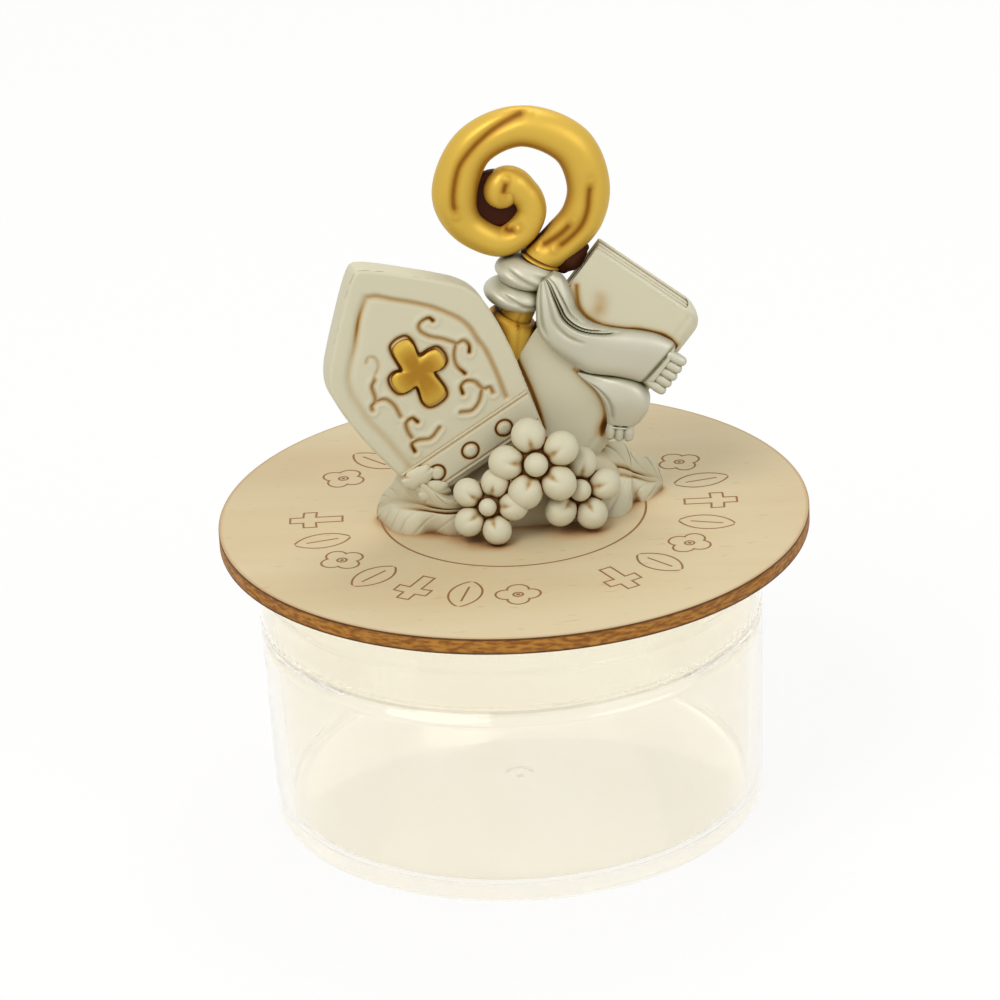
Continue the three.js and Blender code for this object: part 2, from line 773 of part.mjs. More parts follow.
// Each element keeps its seam to the ones that lie over it
clear(rightFlower, [largeFlower]);
clear(leftFlower, [largeFlower]);
clear(upperWrap, [crozier.curl, crozier.ferrule]);
clear(lowerWrap, [upperWrap, crozier.shaft]);
clear(mitre, [largeFlower, leftFlower, upperWrap, lowerWrap]);
clear(book.cover, [mitre, largeFlower, rightFlower, upperWrap, lowerWrap]);
clear(book.pages, [mitre, largeFlower, rightFlower, upperWrap, lowerWrap]);
clear(crozier.shaft, [mitre, book.cover, book.pages]);
clear(longTail, [upperWrap, lowerWrap, longFringe]);
clear(shortTail, [longTail, shortFringe]);
clear(leftLeaf, [leftFlower, largeFlower, mitre, crozier.shaft]);
clear(rightLeaf, [rightFlower, largeFlower, book.cover, shortFringe, shortTail]);
clear(mound, [
  leftFlower, rightFlower, largeFlower, mitre, book.cover, book.pages, crozier.shaft, leftLeaf, rightLeaf,
]);

export default keepsakeBox;
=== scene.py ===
# A clear keepsake box whose cap carries a plywood disc and a painted church emblem.
# Lengths are in millimetres until a mesh is made; the frame is in metres, Z up.
import math

import bmesh
import bpy
import numpy as np
from mathutils import Matrix, Vector


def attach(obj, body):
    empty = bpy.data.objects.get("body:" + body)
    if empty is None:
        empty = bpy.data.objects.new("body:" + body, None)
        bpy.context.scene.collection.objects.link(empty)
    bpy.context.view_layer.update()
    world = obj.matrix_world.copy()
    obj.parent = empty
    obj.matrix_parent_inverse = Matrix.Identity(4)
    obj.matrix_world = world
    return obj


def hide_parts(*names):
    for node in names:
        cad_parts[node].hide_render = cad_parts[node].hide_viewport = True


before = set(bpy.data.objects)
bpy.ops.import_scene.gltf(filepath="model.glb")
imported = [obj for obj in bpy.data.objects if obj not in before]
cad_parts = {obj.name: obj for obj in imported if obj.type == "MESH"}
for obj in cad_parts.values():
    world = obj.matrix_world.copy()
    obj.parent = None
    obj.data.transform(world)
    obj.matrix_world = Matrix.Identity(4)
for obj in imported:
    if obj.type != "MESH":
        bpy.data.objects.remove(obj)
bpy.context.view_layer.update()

# Cup
# The body of the box, injection moulded in clear polystyrene with walls of about 1.4 mm.
# It has a gate mark at the middle of its floor, and a neck set in to take the cap's skirt.
mm = 0.001
box_radius = 30
foot_radius = 29.4
floor_top = 1.8
gate_depth = 0.14
skirt_edge = 25
shoulder = skirt_edge - 0.08
neck_radius = 28.45
neck_bore = 27.3
neck_top = 33.2
bead_height = 29.5


def filleted(profile):
    """The (radius, height) points of a profile given as (radius, height, fillet)."""
    points = []
    for i, (radius, height, size) in enumerate(profile):
        corner = Vector((radius, height))
        if size == 0:
            points.append(corner)
            continue
        start = corner + (Vector(profile[i - 1][:2]) - corner).normalized() * size
        end = corner + (Vector(profile[i + 1][:2]) - corner).normalized() * size
        for t in (0, 0.2, 0.4, 0.6, 0.8, 1):
            points.append(start.lerp(corner, t).lerp(corner.lerp(end, t), t))
    return [tuple(point) for point in points]


def grid_faces(rows, columns, round_about):
    """Quads between rows of points, and across the first and last column if the rows are closed."""
    low = np.arange(rows - 1)[:, None] * columns
    here = np.arange(columns if round_about else columns - 1)[None, :]
    ahead = (here + 1) % columns
    corners = [low + here, low + ahead, low + columns + ahead, low + columns + here]
    return np.stack(corners, axis=-1).reshape(-1, 4).tolist()


def turned(profile, sides, swell=None):
    """A form turned about Z. The profile starts and ends on the axis."""
    angles = np.arange(sides) * 2 * math.pi / sides
    rings = []
    for radius, height in profile[1:-1]:
        wide = radius + (swell(radius, height, angles) if swell else 0 * angles)
        ring = [wide * np.cos(angles), wide * np.sin(angles), 0 * angles + height]
        rings.append(np.stack(ring, axis=1))
    points = np.concatenate([*rings, [[0, 0, profile[0][1]], [0, 0, profile[-1][1]]]])
    faces = grid_faces(len(rings), sides, True)
    last = (len(rings) - 1) * sides
    for j in range(sides):
        after = (j + 1) % sides
        faces.append((len(points) - 2, after, j))
        faces.append((len(points) - 1, last + j, last + after))
    return points, faces


def moved(points, matrix):
    """Points taken through a placement."""
    placement = np.array(matrix)
    return np.asarray(points) @ placement[:3, :3].T + placement[:3, 3]


# The materials, each under the name of its slot
finishes = {}


def place(name, shape, slot, stands_for=(), at=Matrix(), body="lid", wash=0):
    """Makes one piece from points and faces, sets it in the frame and gives it its finish.

    wash is what is drawn of the paint's wash: one number, or one for each point.
    """
    points, faces = shape
    mesh = bpy.data.meshes.new(name)
    mesh.from_pydata((moved(points, at) * mm).tolist(), [], faces)
    editing = bmesh.new()
    editing.from_mesh(mesh)
    bmesh.ops.recalc_face_normals(editing, faces=editing.faces)
    editing.to_mesh(mesh)
    editing.free()
    mesh.polygons.foreach_set("use_smooth", [True] * len(mesh.polygons))
    mesh.set_sharp_from_angle(angle=math.radians(40))
    layer = mesh.attributes.new("wash", "FLOAT", "POINT")
    layer.data.foreach_set("value", np.full(len(points), wash, dtype=np.float32))
    mesh.materials.append(finishes[slot])
    piece = bpy.data.objects.new(name, mesh)
    bpy.context.scene.collection.objects.link(piece)
    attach(piece, body)
    if stands_for:
        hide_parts(*stands_for)


class Tone:
    """A value or colour in a material's nodes. Arithmetic with it adds Math nodes."""

    def __init__(self, tree, socket=None):
        self.tree = tree
        self.socket = socket

    def node(self, kind, settings=None, inputs=None, output=0):
        """A new node, with its settings made first and then its inputs."""
        made = self.tree.nodes.new("ShaderNode" + kind)
        for key, value in (settings or {}).items():
            setattr(made, key, value)
        for key, value in (inputs or {}).items():
            if isinstance(value, Tone):
                self.tree.links.new(value.socket, made.inputs[key])
            else:
                made.inputs[key].default_value = value
        return Tone(self.tree, made.outputs[output] if made.outputs else None)

    def output(self, name):
        """Another output of the node that this one comes from."""
        return Tone(self.tree, self.socket.node.outputs[name])

    def math(self, operation, *others):
        """This value taken through one Math node, with others if it needs them."""
        return self.node("Math", {"operation": operation}, dict(enumerate((self, *others))))

    def __add__(self, other):
        return self.math("ADD", other)

    def __sub__(self, other):
        return self.math("SUBTRACT", other)

    def __rsub__(self, other):
        return self.node("Math", {"operation": "SUBTRACT"}, {0: other, 1: self})

    def __mul__(self, other):
        return self.math("MULTIPLY", other)

    def __truediv__(self, other):
        return self.math("DIVIDE", other)

    __radd__ = __add__
    __rmul__ = __mul__

    def size(self):
        """The value without its sign."""
        return self.math("ABSOLUTE")

    def rise(self, low, high):
        """0 below low and 1 above high, with a soft step between them."""
        settings = {"interpolation_type": "SMOOTHSTEP"}
        return self.node("MapRange", settings, {"Value": self, "From Min": low, "From Max": high})

    def mixed(self, first, second):
        """A colour that goes from first to second as this value goes from 0 to 1."""
        return self.node("Mix", {"data_type": "RGBA"}, {0: self, 6: first, 7: second}, 2)

    def spot(self):
        """Where a point of the piece lies, as x, y and z in millimetres."""
        where = self.node("TexCoord", output="Object")
        scaled = self.node("VectorMath", {"operation": "SCALE"}, {0: where, "Scale": 1000})
        split = self.node("SeparateXYZ", None, {0: scaled})
        return [split.output(name) for name in "XYZ"]

    def noise(self, scale, detail, stretch=(1, 1, 1)):
        """Cloudy values round 0.5 that stay fixed to the piece."""
        where = self.node("TexCoord", output="Object")
        spread = self.node("VectorMath", {"operation": "MULTIPLY"}, {0: where, 1: stretch})
        return self.node("TexNoise", None, {"Vector": spread, "Scale": scale, "Detail": detail})

    def open_sky(self, reach):
        """1 on open surface, and less in hollows narrower than the reach."""
        return self.node("AmbientOcclusion", {"samples": 8}, {"Distance": reach * mm}, "AO")

    def bump(self, height, strength, distance):
        """A normal that follows small heights, for a distance in millimetres."""
        inputs = {"Height": height, "Strength": strength, "Distance": distance * mm}
        return self.node("Bump", None, inputs)


def most(first, *others):
    """The largest of some values."""
    for other in others:
        first = first.math("MAXIMUM", other)
    return first


def least(first, *others):
    """The smallest of some values."""
    for other in others:
        first = first.math("MINIMUM", other)
    return first


def finish(slot):
    """Starts the material of a slot, and gives the Tone that its nodes start from."""
    material = bpy.data.materials.new(slot)
    material.use_nodes = True
    material.node_tree.nodes.clear()
    finishes[slot] = material
    return Tone(material.node_tree)


def colour(red, green, blue):
    """A colour as it is read off a screen, in the linear values that a shader takes."""
    parts = [part / 255 for part in (red, green, blue)]
    linear = [part / 12.92 if part < 0.04045 else ((part + 0.055) / 1.055) ** 2.4 for part in parts]
    return (*linear, 1)


# Light goes straight on where it makes shadows, at the seam, and when it has been reflected
# or has passed several walls, because plastic as thin as this hardly bends it
tone = finish("clear_plastic")
haze = tone.noise(90, 2)
ray = tone.node("LightPath")
reflected = ray.output("Is Reflection Ray") * 0.75
bounced = ray.output("Ray Depth").rise(1.5, 3.5) * 0.9
x, y, height = tone.spot()
at_seam = (1 - (height - skirt_edge).size().rise(0.15, 0.45)) * 0.85
let_through = most(ray.output("Is Shadow Ray"), at_seam, reflected, bounced)
moulding = tone.node(
    "BsdfPrincipled",
    None,
    {
        "Base Color": haze.rise(0.3, 0.7).mixed(colour(251, 247, 235), colour(252, 249, 238)),
        "Roughness": haze.rise(0.4, 0.7) * 0.02 + 0.015,
        "IOR": 1.5,
        "Transmission Weight": 1,
    },
)
straight = tone.node("BsdfTransparent", None, {"Color": (0.99, 0.98, 0.955, 1)})
surface = tone.node("MixShader", None, {0: let_through, 1: moulding, 2: straight})
tone.node("OutputMaterial", None, {"Surface": surface})

cup = [
    (0, 0, 0),
    (foot_radius, 0, 1.2),
    (box_radius, shoulder, 0.15),
    (neck_radius, shoulder, 0.12),
    (neck_radius, bead_height - 0.5, 0.1),
    (neck_radius + 0.22, bead_height, 0.15),
    (neck_radius, bead_height + 0.5, 0.1),
    (neck_radius, neck_top, 0.35),
    (neck_bore, neck_top, 0.2),
    (neck_bore, skirt_edge - 0.5, 0.6),
    (box_radius - 1.45, skirt_edge - 2, 0.6),
    (foot_radius - 1.4, floor_top, 2),
    (1.95, floor_top, 0.12),
    (1.6, floor_top - gate_depth, 0.12),
    (0.45, floor_top - gate_depth, 0.1),
    (0.3, floor_top + 0.08, 0.12),
    (0, floor_top + 0.1, 0),
]
place("cup", turned(filleted(cup), 192), "clear_plastic", ["box_body"], body="box")

# Cap
# A flat clear moulding that is pushed over the neck until its skirt stands flush with the cup.
# Its skirt has a row of fine scallops for grip, which starts just above a plain edge.
flutes = 120
flute_depth = 0.08
flute_foot = 25.7
flute_head = 26.6
bore = 28.85
cap_underside = 33.5
cap_top = 35


def fluted(radius, height, angles):
    """How far the scallops cut in on the outside of the skirt."""
    if radius < box_radius - 0.1 or height > cap_underside + 0.1:
        return 0 * angles
    scallop = flute_foot + 0.28 * np.abs(np.sin(flutes * angles / 2))
    fade = np.clip((height - scallop) / 0.2, 0, 1) * np.clip((flute_head - height) / 0.5, 0, 1)
    return -flute_depth * fade * np.abs(np.cos(flutes * angles / 2))


cap = [
    (0, cap_underside, 0),
    (bore, cap_underside, 0.5),
    (bore, skirt_edge + 0.1, 0.2),
    (box_radius, skirt_edge, 0.12),
    *[(box_radius, flute_foot + 0.1 * k, 0) for k in range(10)],
    (box_radius, 30, 0),
    (box_radius, cap_top, 0.6),
    (0, cap_top, 0),
]
place("cap", turned(filleted(cap), flutes * 8, fluted), "clear_plastic", ["box_lid"])

# Disc
# Laser-cut birch plywood, 70 mm across, glued on the cap a little off its middle. The beam
# has burnt its edge brown, scored a ring about the emblem and engraved motifs near the rim.
disc_shift = 0.8
disc_radius = 35
disc_top = 37
scored_radius = 15.7
motif_radius = 23.4
motif_step = math.radians(15)
line_width = 0.07

tone = finish("birch_plywood")
x, y, height = tone.spot()
on_top = height.rise(disc_top - 0.5, disc_top - 0.1)


def far(x, y):
    """The length of (x, y)."""
    return (x * x + y * y).math("SQRT")


def stroke(distance, width=line_width):
    """1 on a drawn line and 0 away from it, from the distance to the outline."""
    return 1 - distance.size().rise(width, width + 0.11)


radius = far(x - disc_shift, y)
turn = y.math("ARCTAN2", x - disc_shift) / motif_step + 12.5
place_in_ring = turn.math("FLOOR")
across = (turn - place_in_ring - 0.5) * motif_step * radius
outward = radius - motif_radius
side = across.size()
reach = outward.size()

upright = most(side - 0.75, reach - 3.1)
crossbar = most(side - 2.1, (outward - 0.8).size() - 0.75)
cross = stroke(least(upright, crossbar))
leaf = most(stroke(far(side + 2.2, outward) - 4.1), stroke(across) * (1 - reach.rise(1.9, 2)))
petals = least(far(side - 1.35, outward), far(side, reach - 1.35)) - 1.25
flower = most(stroke(petals), stroke(far(across, outward) - 0.55))
odd = place_in_ring.math("PINGPONG", 1)
is_flower = (place_in_ring + 1).math("MODULO", 4).rise(1.4, 1.6)
motif = odd * leaf + (1 - odd) * (is_flower * flower + (1 - is_flower) * cross)
motif = motif * (1 - place_in_ring.math("MODULO", 8).rise(6.4, 6.6)) * (1 - reach.rise(3.3, 3.4))
engraved = most(motif, stroke(radius - scored_radius, 0.08)) * on_top

grain = tone.noise(60, 6, (0.25, 1, 1))
streaks = tone.noise(240, 4, (0.08, 1, 1))
flecks = tone.noise(1400, 2, (0.3, 1, 1))
face = grain.rise(0.35, 0.7).mixed(colour(201, 186, 151), colour(194, 175, 137))
face = (streaks.rise(0.5, 0.75) * 0.35).mixed(face, colour(195, 178, 144))
face = (flecks.rise(0.66, 0.74) * 0.35).mixed(face, colour(168, 142, 102))
face = (radius.rise(disc_radius - 0.6, disc_radius) * 0.55).mixed(face, colour(160, 112, 50))
face = (engraved * 0.9).mixed(face, colour(122, 72, 24))
# Painted shade: the top goes brown, then dark brown, where the casting stands close over it
contact_shade = (1 - tone.open_sky(2.6)) * on_top * (1 - radius.rise(24, 25))
face = (contact_shade.rise(0.1, 0.5) * 0.7).mixed(face, colour(178, 122, 60))
face = (contact_shade.rise(0.42, 0.72) * 0.85).mixed(face, colour(74, 34, 8))
scorch = tone.noise(1500, 4, (0.5, 0.5, 1.8))
core = scorch.rise(0.35, 0.65).mixed(colour(126, 76, 20), colour(172, 118, 44))
from_middle = (height - (cap_top + disc_top) / 2).size()
burnt = (from_middle.rise(0.6, 0.88) * 0.9).mixed(core, colour(62, 30, 6))
wood = tone.node(
    "BsdfPrincipled",
    None,
    {
        "Base Color": radius.rise(disc_radius - 0.09, disc_radius - 0.02).mixed(face, burnt),
        "Roughness": streaks.rise(0.3, 0.7) * 0.15 + 0.55,
        "Specular IOR Level": 0.3,
        "Normal": tone.bump(streaks * 0.35 + flecks * 0.3 - engraved * 1.5, 0.35, 0.12),
    },
)
tone.node("OutputMaterial", None, {"Surface": wood})

disc = [
    (0, cap_top, 0),
    (disc_radius, cap_top, 0.15),
    (disc_radius, disc_top, 0.15),
    (0, disc_top, 0),
]
glued_on = Matrix.Translation((disc_shift, 0, 0))
place("plywood_disc", turned(filleted(disc), 256), "birch_plywood", ["wood_disc"], at=glued_on)

# Mound and leaves
# The foot of the casting: a rounded mound with a broad leaf lying out on either side. The
# casting is painted ivory, and a brown wash has been left in its hollows.
ivory = colour(203, 199, 175)
# The ivory as it looks in painted shade, used in hollows
ivory_painted_shade = colour(184, 172, 138)
honey = colour(166, 124, 50)
umber = colour(86, 46, 2)


def antique(slot, paint, painted_shade, thin, wash, roughness, metallic, reach=1.4, soak=1.0):
    """Paint on the casting, with a wash that stays in hollows and in what was drawn for it."""
    tone = finish(slot)
    hidden = 1 - tone.open_sky(reach)
    patches = tone.noise(420, 4)
    drawn = tone.node("Attribute", {"attribute_name": "wash"}, None, "Fac")
    hollow = hidden.rise(0.32, 0.95) * (patches * 0.9 + 0.5) * soak
    stain = least(hollow + drawn, 0.94)
    # Painted shade: the paint goes a tenth of the way to its shade colour on open surface, and all
    # the way in deep hollows
    paint_with_painted_shade = least(hidden * 1.1 + 0.1, 1).mixed(paint, painted_shade)
    thinly = least(stain * 1.7, 1).mixed(paint_with_painted_shade, thin)
    coat = tone.node(
        "BsdfPrincipled",
        None,
        {
            "Base Color": stain.rise(0.3, 0.9).mixed(thinly, wash),
            "Roughness": patches * 0.12 + stain * 0.2 + roughness,
            "Specular IOR Level": 0.15,
            "Metallic": (1 - stain) * metallic,
            "Normal": tone.bump(tone.noise(2600, 2) * 0.5 + patches * 0.5, 0.2, 0.08),
        },
    )
    tone.node("OutputMaterial", None, {"Surface": coat})


antique("ivory_resin", ivory, ivory_painted_shade, honey, umber, 0.42, 0)


def smooth(points, steps, closed=False):
    """Evenly spaced points on a smooth line through the given ones, in any number of columns."""
    given = np.array(points, dtype=float)
    if closed:
        given = np.concatenate([given[-1:], given, given[:2]])
    else:
        ends = [2 * given[0] - given[1], 2 * given[-1] - given[-2]]
        given = np.concatenate([ends[:1], given, ends[1:]])
    run = []
    for a, b, c, d in zip(given, given[1:], given[2:], given[3:]):
        strides = [max(np.linalg.norm(q - p), 1e-6) ** 0.5 for p, q in ((a, b), (b, c), (c, d))]
        knots = np.cumsum([0, *strides])
        t = np.linspace(knots[1], knots[2], 24, endpoint=False)[:, None]
        ab = a + (b - a) * (t - knots[0]) / (knots[1] - knots[0])
        bc = b + (c - b) * (t - knots[1]) / (knots[2] - knots[1])
        cd = c + (d - c) * (t - knots[2]) / (knots[3] - knots[2])
        abc = ab + (bc - ab) * (t - knots[0]) / (knots[2] - knots[0])
        bcd = bc + (cd - bc) * (t - knots[1]) / (knots[3] - knots[1])
        run.append(abc + (bcd - abc) * (t - knots[1]) / (knots[2] - knots[1]))
    run = np.concatenate([*run, given[-2:-1]])
    gone = np.concatenate([[0], np.cumsum(np.linalg.norm(np.diff(run, axis=0), axis=1))])
    even = np.linspace(0, gone[-1], steps + 1)
    return np.stack([np.interp(even, gone, column) for column in run.T], axis=1)


def ridge(distance, width):
    """A soft bump of height 1 over a line at distance 0."""
    return np.exp(-((distance / width) ** 2))


def ringed(rings):
    """A closed form through rings of points that run round about, with a face over each end."""
    rows = len(rings)
    columns = len(rings[0])
    start = list(range(columns))[::-1]
    end = list(range((rows - 1) * columns, rows * columns))
    return np.concatenate(rings), [*grid_faces(rows, columns, True), start, end]


def spin(axis, degrees):
    """A turn about an axis of the frame."""
    return Matrix.Rotation(math.radians(degrees), 4, axis)


# In the emblem's own frame x runs to the right, y up and z towards the viewer
emblem = Matrix.Translation((0, 0, disc_top)) @ spin("X", 90)

mound = []
for rise in np.linspace(0, 1, 24):
    spread = math.sqrt(1 - (rise * 0.95) ** 2)
    angle = np.arange(72) * 2 * math.pi / 72
    knob = 1 + 0.03 * np.sin(5 * angle + 4 * rise) * spread
    x = 1.5 + 2 * rise + 12 * spread * np.cos(angle) * knob
    z = -1 - 6 * spread * np.sin(angle) * knob
    mound.append(np.stack([x, 0 * x + 9 * rise, z], axis=1))
place("mound", ringed(mound), "ivory_resin", ["figure_base"], at=emblem, wash=0.1)


def leaf_form(stations, rib_from, rib_to, veins):
    """A broad leaf that leans back from its foot on the disc, with a rib between two grooves.

    Each station gives x, then z of the foot, z and height of the rib and of the top edge, and
    z of the back.
    """
    steps = 150
    x, foot, rib_z, rib_height, top_z, top_height, back = smooth(stations, steps).T
    shown = np.clip((x - rib_from) / (rib_to - rib_from), 0, 1)
    rows = []
    stain = []
    for v in np.linspace(0, 1, 49):
        part = 2 * v if v < 0.5 else 2 * v - 1
        lower = [foot + (rib_z - foot) * part, rib_height * part]
        upper = [rib_z + (top_z - rib_z) * part, rib_height + (top_height - rib_height) * part]
        z, height = lower if v < 0.5 else upper
        bow = rib_height if v < 0.5 else top_height - rib_height
        groove = (ridge(v - 0.45, 0.025) + ridge(v - 0.56, 0.025)) * shown**0.5
        away = abs(v - 0.5) * 2
        fan = np.cos(math.pi * (veins * np.linspace(0, 1, steps + 1) + 1.5 * away))
        vein = ridge(fan, 0.2) * away * (1 - away**6)
        out = 0.16 * math.sin(math.pi * part) * bow + 0.15 * ridge(v - 0.505, 0.03) * shown
        out -= 0.4 * groove + 0.26 * vein
        rows.append(np.stack([x, height + 0.7 * out * (v > 0), z + 0.7 * out], axis=1))
        stain.append(groove * shown * 0.95 + 0.24 * vein)
    for u in (0.08, 0.2, 0.35, 0.5, 0.65, 0.8, 0.9, 0.96, 1):
        fall = math.cos(u * math.pi / 2) ** 0.6
        rows.append(np.stack([x, top_height * fall, top_z + (back - top_z) * u], axis=1))
        stain.append(0 * x)
    return ringed(np.stack(rows, axis=1)), np.stack(stain, axis=1).reshape(-1)


left_stations = [
    (-15.4, 0.5, 0.5, 0.5, 0.5, 0.9, -0.3),
    (-15.15, 0.8, 0.7, 1.2, 0.7, 2, -0.6),
    (-14.4, 2.6, 1.6, 2.1, 1.4, 3.8, -1),
    (-13.5, 4.4, 2.9, 2.9, 2.7, 5.2, -1.4),
    (-12.5, 5.3, 3.9, 3.2, 4.5, 7.1, -1.5),
    (-11.6, 5.8, 4.5, 3.3, 5.9, 7.8, -1.6),
    (-10.4, 5.7, 5, 3.3, 6.3, 7.4, -1.6),
    (-9.3, 5.2, 5.4, 3.2, 6.5, 6.7, -1.6),
    (-8.6, 5.3, 5.8, 3.2, 6.7, 6.1, -1.6),
    (-6.7, 6.5, 6.4, 3.2, 6.9, 4.9, -1.6),
    (-3, 5.8, 5.8, 3.2, 6.4, 4.4, -1.5),
]
right_stations = [
    (8.5, 3, 0.5, 4.5, -1.5, 6.4, -2.5),
    (11, 3.3, 0.2, 4.7, -1.8, 7, -3),
    (12.8, 3.5, -0.5, 4.4, -2, 7.4, -3.4),
    (14, 2.7, -1, 3.95, -2.1, 7.2, -3.6),
    (14.8, 1.1, -1.2, 3.5, -2.3, 6.6, -3.8),
    (15.15, -0.9, -1.45, 3.25, -2.1, 5.75, -3.9),
    (16.1, -0.6, -2.1, 2.6, -2.5, 5, -4.2),
    (17.1, -1.3, -2.7, 1.9, -3, 4.85, -4.5),
    (18, -2.9, -3.3, 1.5, -3.5, 3.8, -4.7),
    (18.75, -4.3, -4, 0.7, -4.1, 1.4, -4.8),
]
for name, stations, rib_from, rib_to, veins, strength, node in (
    ("leaf_on_left", left_stations, -13.5, -8, 7, 1, "leaf_left"),
    ("leaf_on_right", right_stations, 18.2, 15.5, 6, 0.45, "leaf_right"),
):
    shape, wash = leaf_form(stations, rib_from, rib_to, veins)
    place(name, shape, "ivory_resin", [node], at=emblem, wash=wash * strength)

# Mitre
# A bishop's mitre cast as one thick slab that comes to a point. Its face has a sunk frame line
# and curling vines, and across its foot runs a raised band with three studs and two sprigs.
mitre_thickness = 4.2
back_round = 1.3
mitre_half = [
    (8.2, 0), (9.1, 5), (9.95, 9.8), (10.3, 13), (10.45, 16.3), (10.2, 18.9), (9.2, 20.9),
    (7.5, 22.9), (5, 25.5), (2.5, 28), (1, 29.3), (0.3, 29.75), (0, 29.8),
]
frame_left = [
    (-0.72, 26.4), (-2.55, 24.9), (-3.92, 23.3), (-5.05, 21.9), (-6.69, 20.2), (-7.81, 18.6),
    (-8.35, 16.6), (-8.4, 14.9), (-8.45, 13), (-7.95, 9.7), (-7.55, 5.4),
]
frame_right = [
    (-0.72, 26.4), (0.25, 25.9), (1.65, 24.4), (3.31, 22.7), (4.95, 20.8), (6.05, 19.1),
    (6.95, 17.4), (7.35, 15.8), (7.35, 14.1), (7.45, 12.3), (7.05, 9), (6.45, 5.8),
]
vines = [
    [(4.25, 19.25), (4.05, 19.8), (3.45, 20), (2.6, 19.8), (2.35, 19.1), (2.85, 17.9), (4, 16.6),
     (5.05, 15.1)],
    [(4.95, 15.1), (5.95, 14.9), (6.15, 14), (5.75, 13.3)],
    [(4.95, 15.1), (4.05, 14), (3.65, 12.7), (3.95, 11.3)],
    [(2.45, 9.3), (2.75, 10.2), (3.55, 10.4), (4.35, 9.7), (4.75, 8.3), (5.45, 8), (5.45, 7.2)],
    [(1.05, 7.4), (2.25, 6.8), (3.45, 7.2), (4.45, 8.2)],
    [(-5.25, 17), (-5.85, 16.6), (-6.25, 15.2), (-6.55, 14.7), (-7.15, 14.5), (-7.35, 14)],
    [(-6.55, 14.7), (-5.45, 14.3), (-4.95, 13), (-5.05, 11.3)],
    [(-3.75, 9.5), (-4.05, 10.3), (-4.95, 10.2), (-5.35, 9), (-5.35, 8.2)],
    [(-2.05, 7.3), (-3.55, 6.8), (-4.95, 7.5), (-5.75, 7.5), (-5.95, 6.5)],
]
faint_vine = [(-4.85, 19.5), (-4.35, 19.9), (-3.75, 19.4), (-3.92, 18.3), (-5.05, 17.4)]


def stand(x, y, z, yaw, lean, roll):
    """The placement of an element that stands turned, tipped back and slanted in the emblem."""
    turn = spin("Y", yaw) @ spin("X", -lean) @ spin("Z", roll)
    return emblem @ Matrix.Translation((x, y, z)) @ turn


def gap_to(x, y, points):
    """The distance from each (x, y) to the nearest of many points on a line."""
    nearest = np.full(x.shape, np.inf)
    for px, py in points:
        nearest = np.minimum(nearest, (x - px) ** 2 + (y - py) ** 2)
    return np.sqrt(nearest)


def relief(half, columns, rows, face, edge, middle, backs):
    """A slab on a mirrored outline, and its wash.

    face(x, y) gives the height of the relief and the wash on it, and edge is the round of the
    front edge. Behind it come loops of the sizes and depths in backs, about a middle height.
    """
    border = smooth(half, 240)
    foot_half, low = border[0]
    top_half, high = border[-1]
    foot = np.stack([np.linspace(-foot_half, foot_half, 60), np.full(60, low)], axis=1)
    top = np.stack([np.linspace(top_half, -top_half, 60), np.full(60, high)], axis=1)
    y = low + (high - low) * (1 - np.cos(np.linspace(0, math.pi, rows))) / 2
    y = 0.35 * y + 0.65 * np.linspace(low, high, rows)
    u = 0.35 * -np.cos(np.linspace(0, math.pi, columns)) + 0.65 * np.linspace(-1, 1, columns)
    x = u[None, :] * np.interp(y, border[:, 1], border[:, 0])[:, None]
    y = np.repeat(y[:, None], columns, axis=1)
    inset = gap_to(x, y, np.concatenate([border, top, border[::-1] * [-1, 1], foot]))
    rounded = np.clip(edge - inset, 0, edge)
    height, wash = face(x, y)
    height = height - (edge - np.sqrt(np.maximum(edge**2 - rounded**2, 0)))
    points = np.stack([x, y, height], axis=-1).reshape(-1, 3)
    faces = grid_faces(rows, columns, False)
    index = np.arange(rows * columns).reshape(rows, columns)
    rim = np.concatenate([index[0], index[1:, -1], index[-1, -2::-1], index[-2:0:-1, 0]])
    outline = points[rim, :2] - [0, middle]
    behind = [np.insert([0, middle] + outline * size, 2, z, axis=1) for size, z in backs]
    loops = [rim, *(len(points) + np.arange(len(backs) * len(rim)).reshape(len(backs), -1))]
    for here, beyond in zip(loops, loops[1:]):
        corners = [np.roll(here, -1), here, beyond, np.roll(beyond, -1)]
        faces += np.stack(corners, axis=1).tolist()
    faces.append(loops[-1][::-1].tolist())
    wash = np.concatenate([wash.reshape(-1), np.zeros(len(backs) * len(rim))])
    return (np.concatenate([points, *behind]), faces), wash


frame_points = np.concatenate([smooth(frame_left, 160), smooth(frame_right, 160)])
vine_points = np.concatenate([smooth(vine, 60) for vine in vines])
faint_points = smooth(faint_vine, 60)
vine_tips = [vines[0][0], vines[1][-1], vines[2][-1], vines[3][0], vines[7][0], vines[8][-1]]
cross_centre = (-0.45, 15)
cross_outline = []
for length, heading, neck, half in (
    (4.5, 90, 1.1, 1.25),
    (3.35, 180, 1.2, 1.4),
    (4.75, 270, 1.1, 1.45),
    (3.45, 0, 1.2, 1.35),
):
    arm = [(1.5, -neck), (length - 1.1, -half), (length - 0.3, -0.8 * half), (length, 0)]
    arm += [(length - 0.3, 0.8 * half), (length - 1.1, half)]
    along = np.array([math.cos(math.radians(heading)), math.sin(math.radians(heading))])
    cross_outline += [out * along + aside * along[::-1] * [-1, 1] for out, aside in arm]
cross_shape = smooth(cross_outline, 240, closed=True)[:-1]
cross_edge = cross_shape * 1.08 + cross_centre


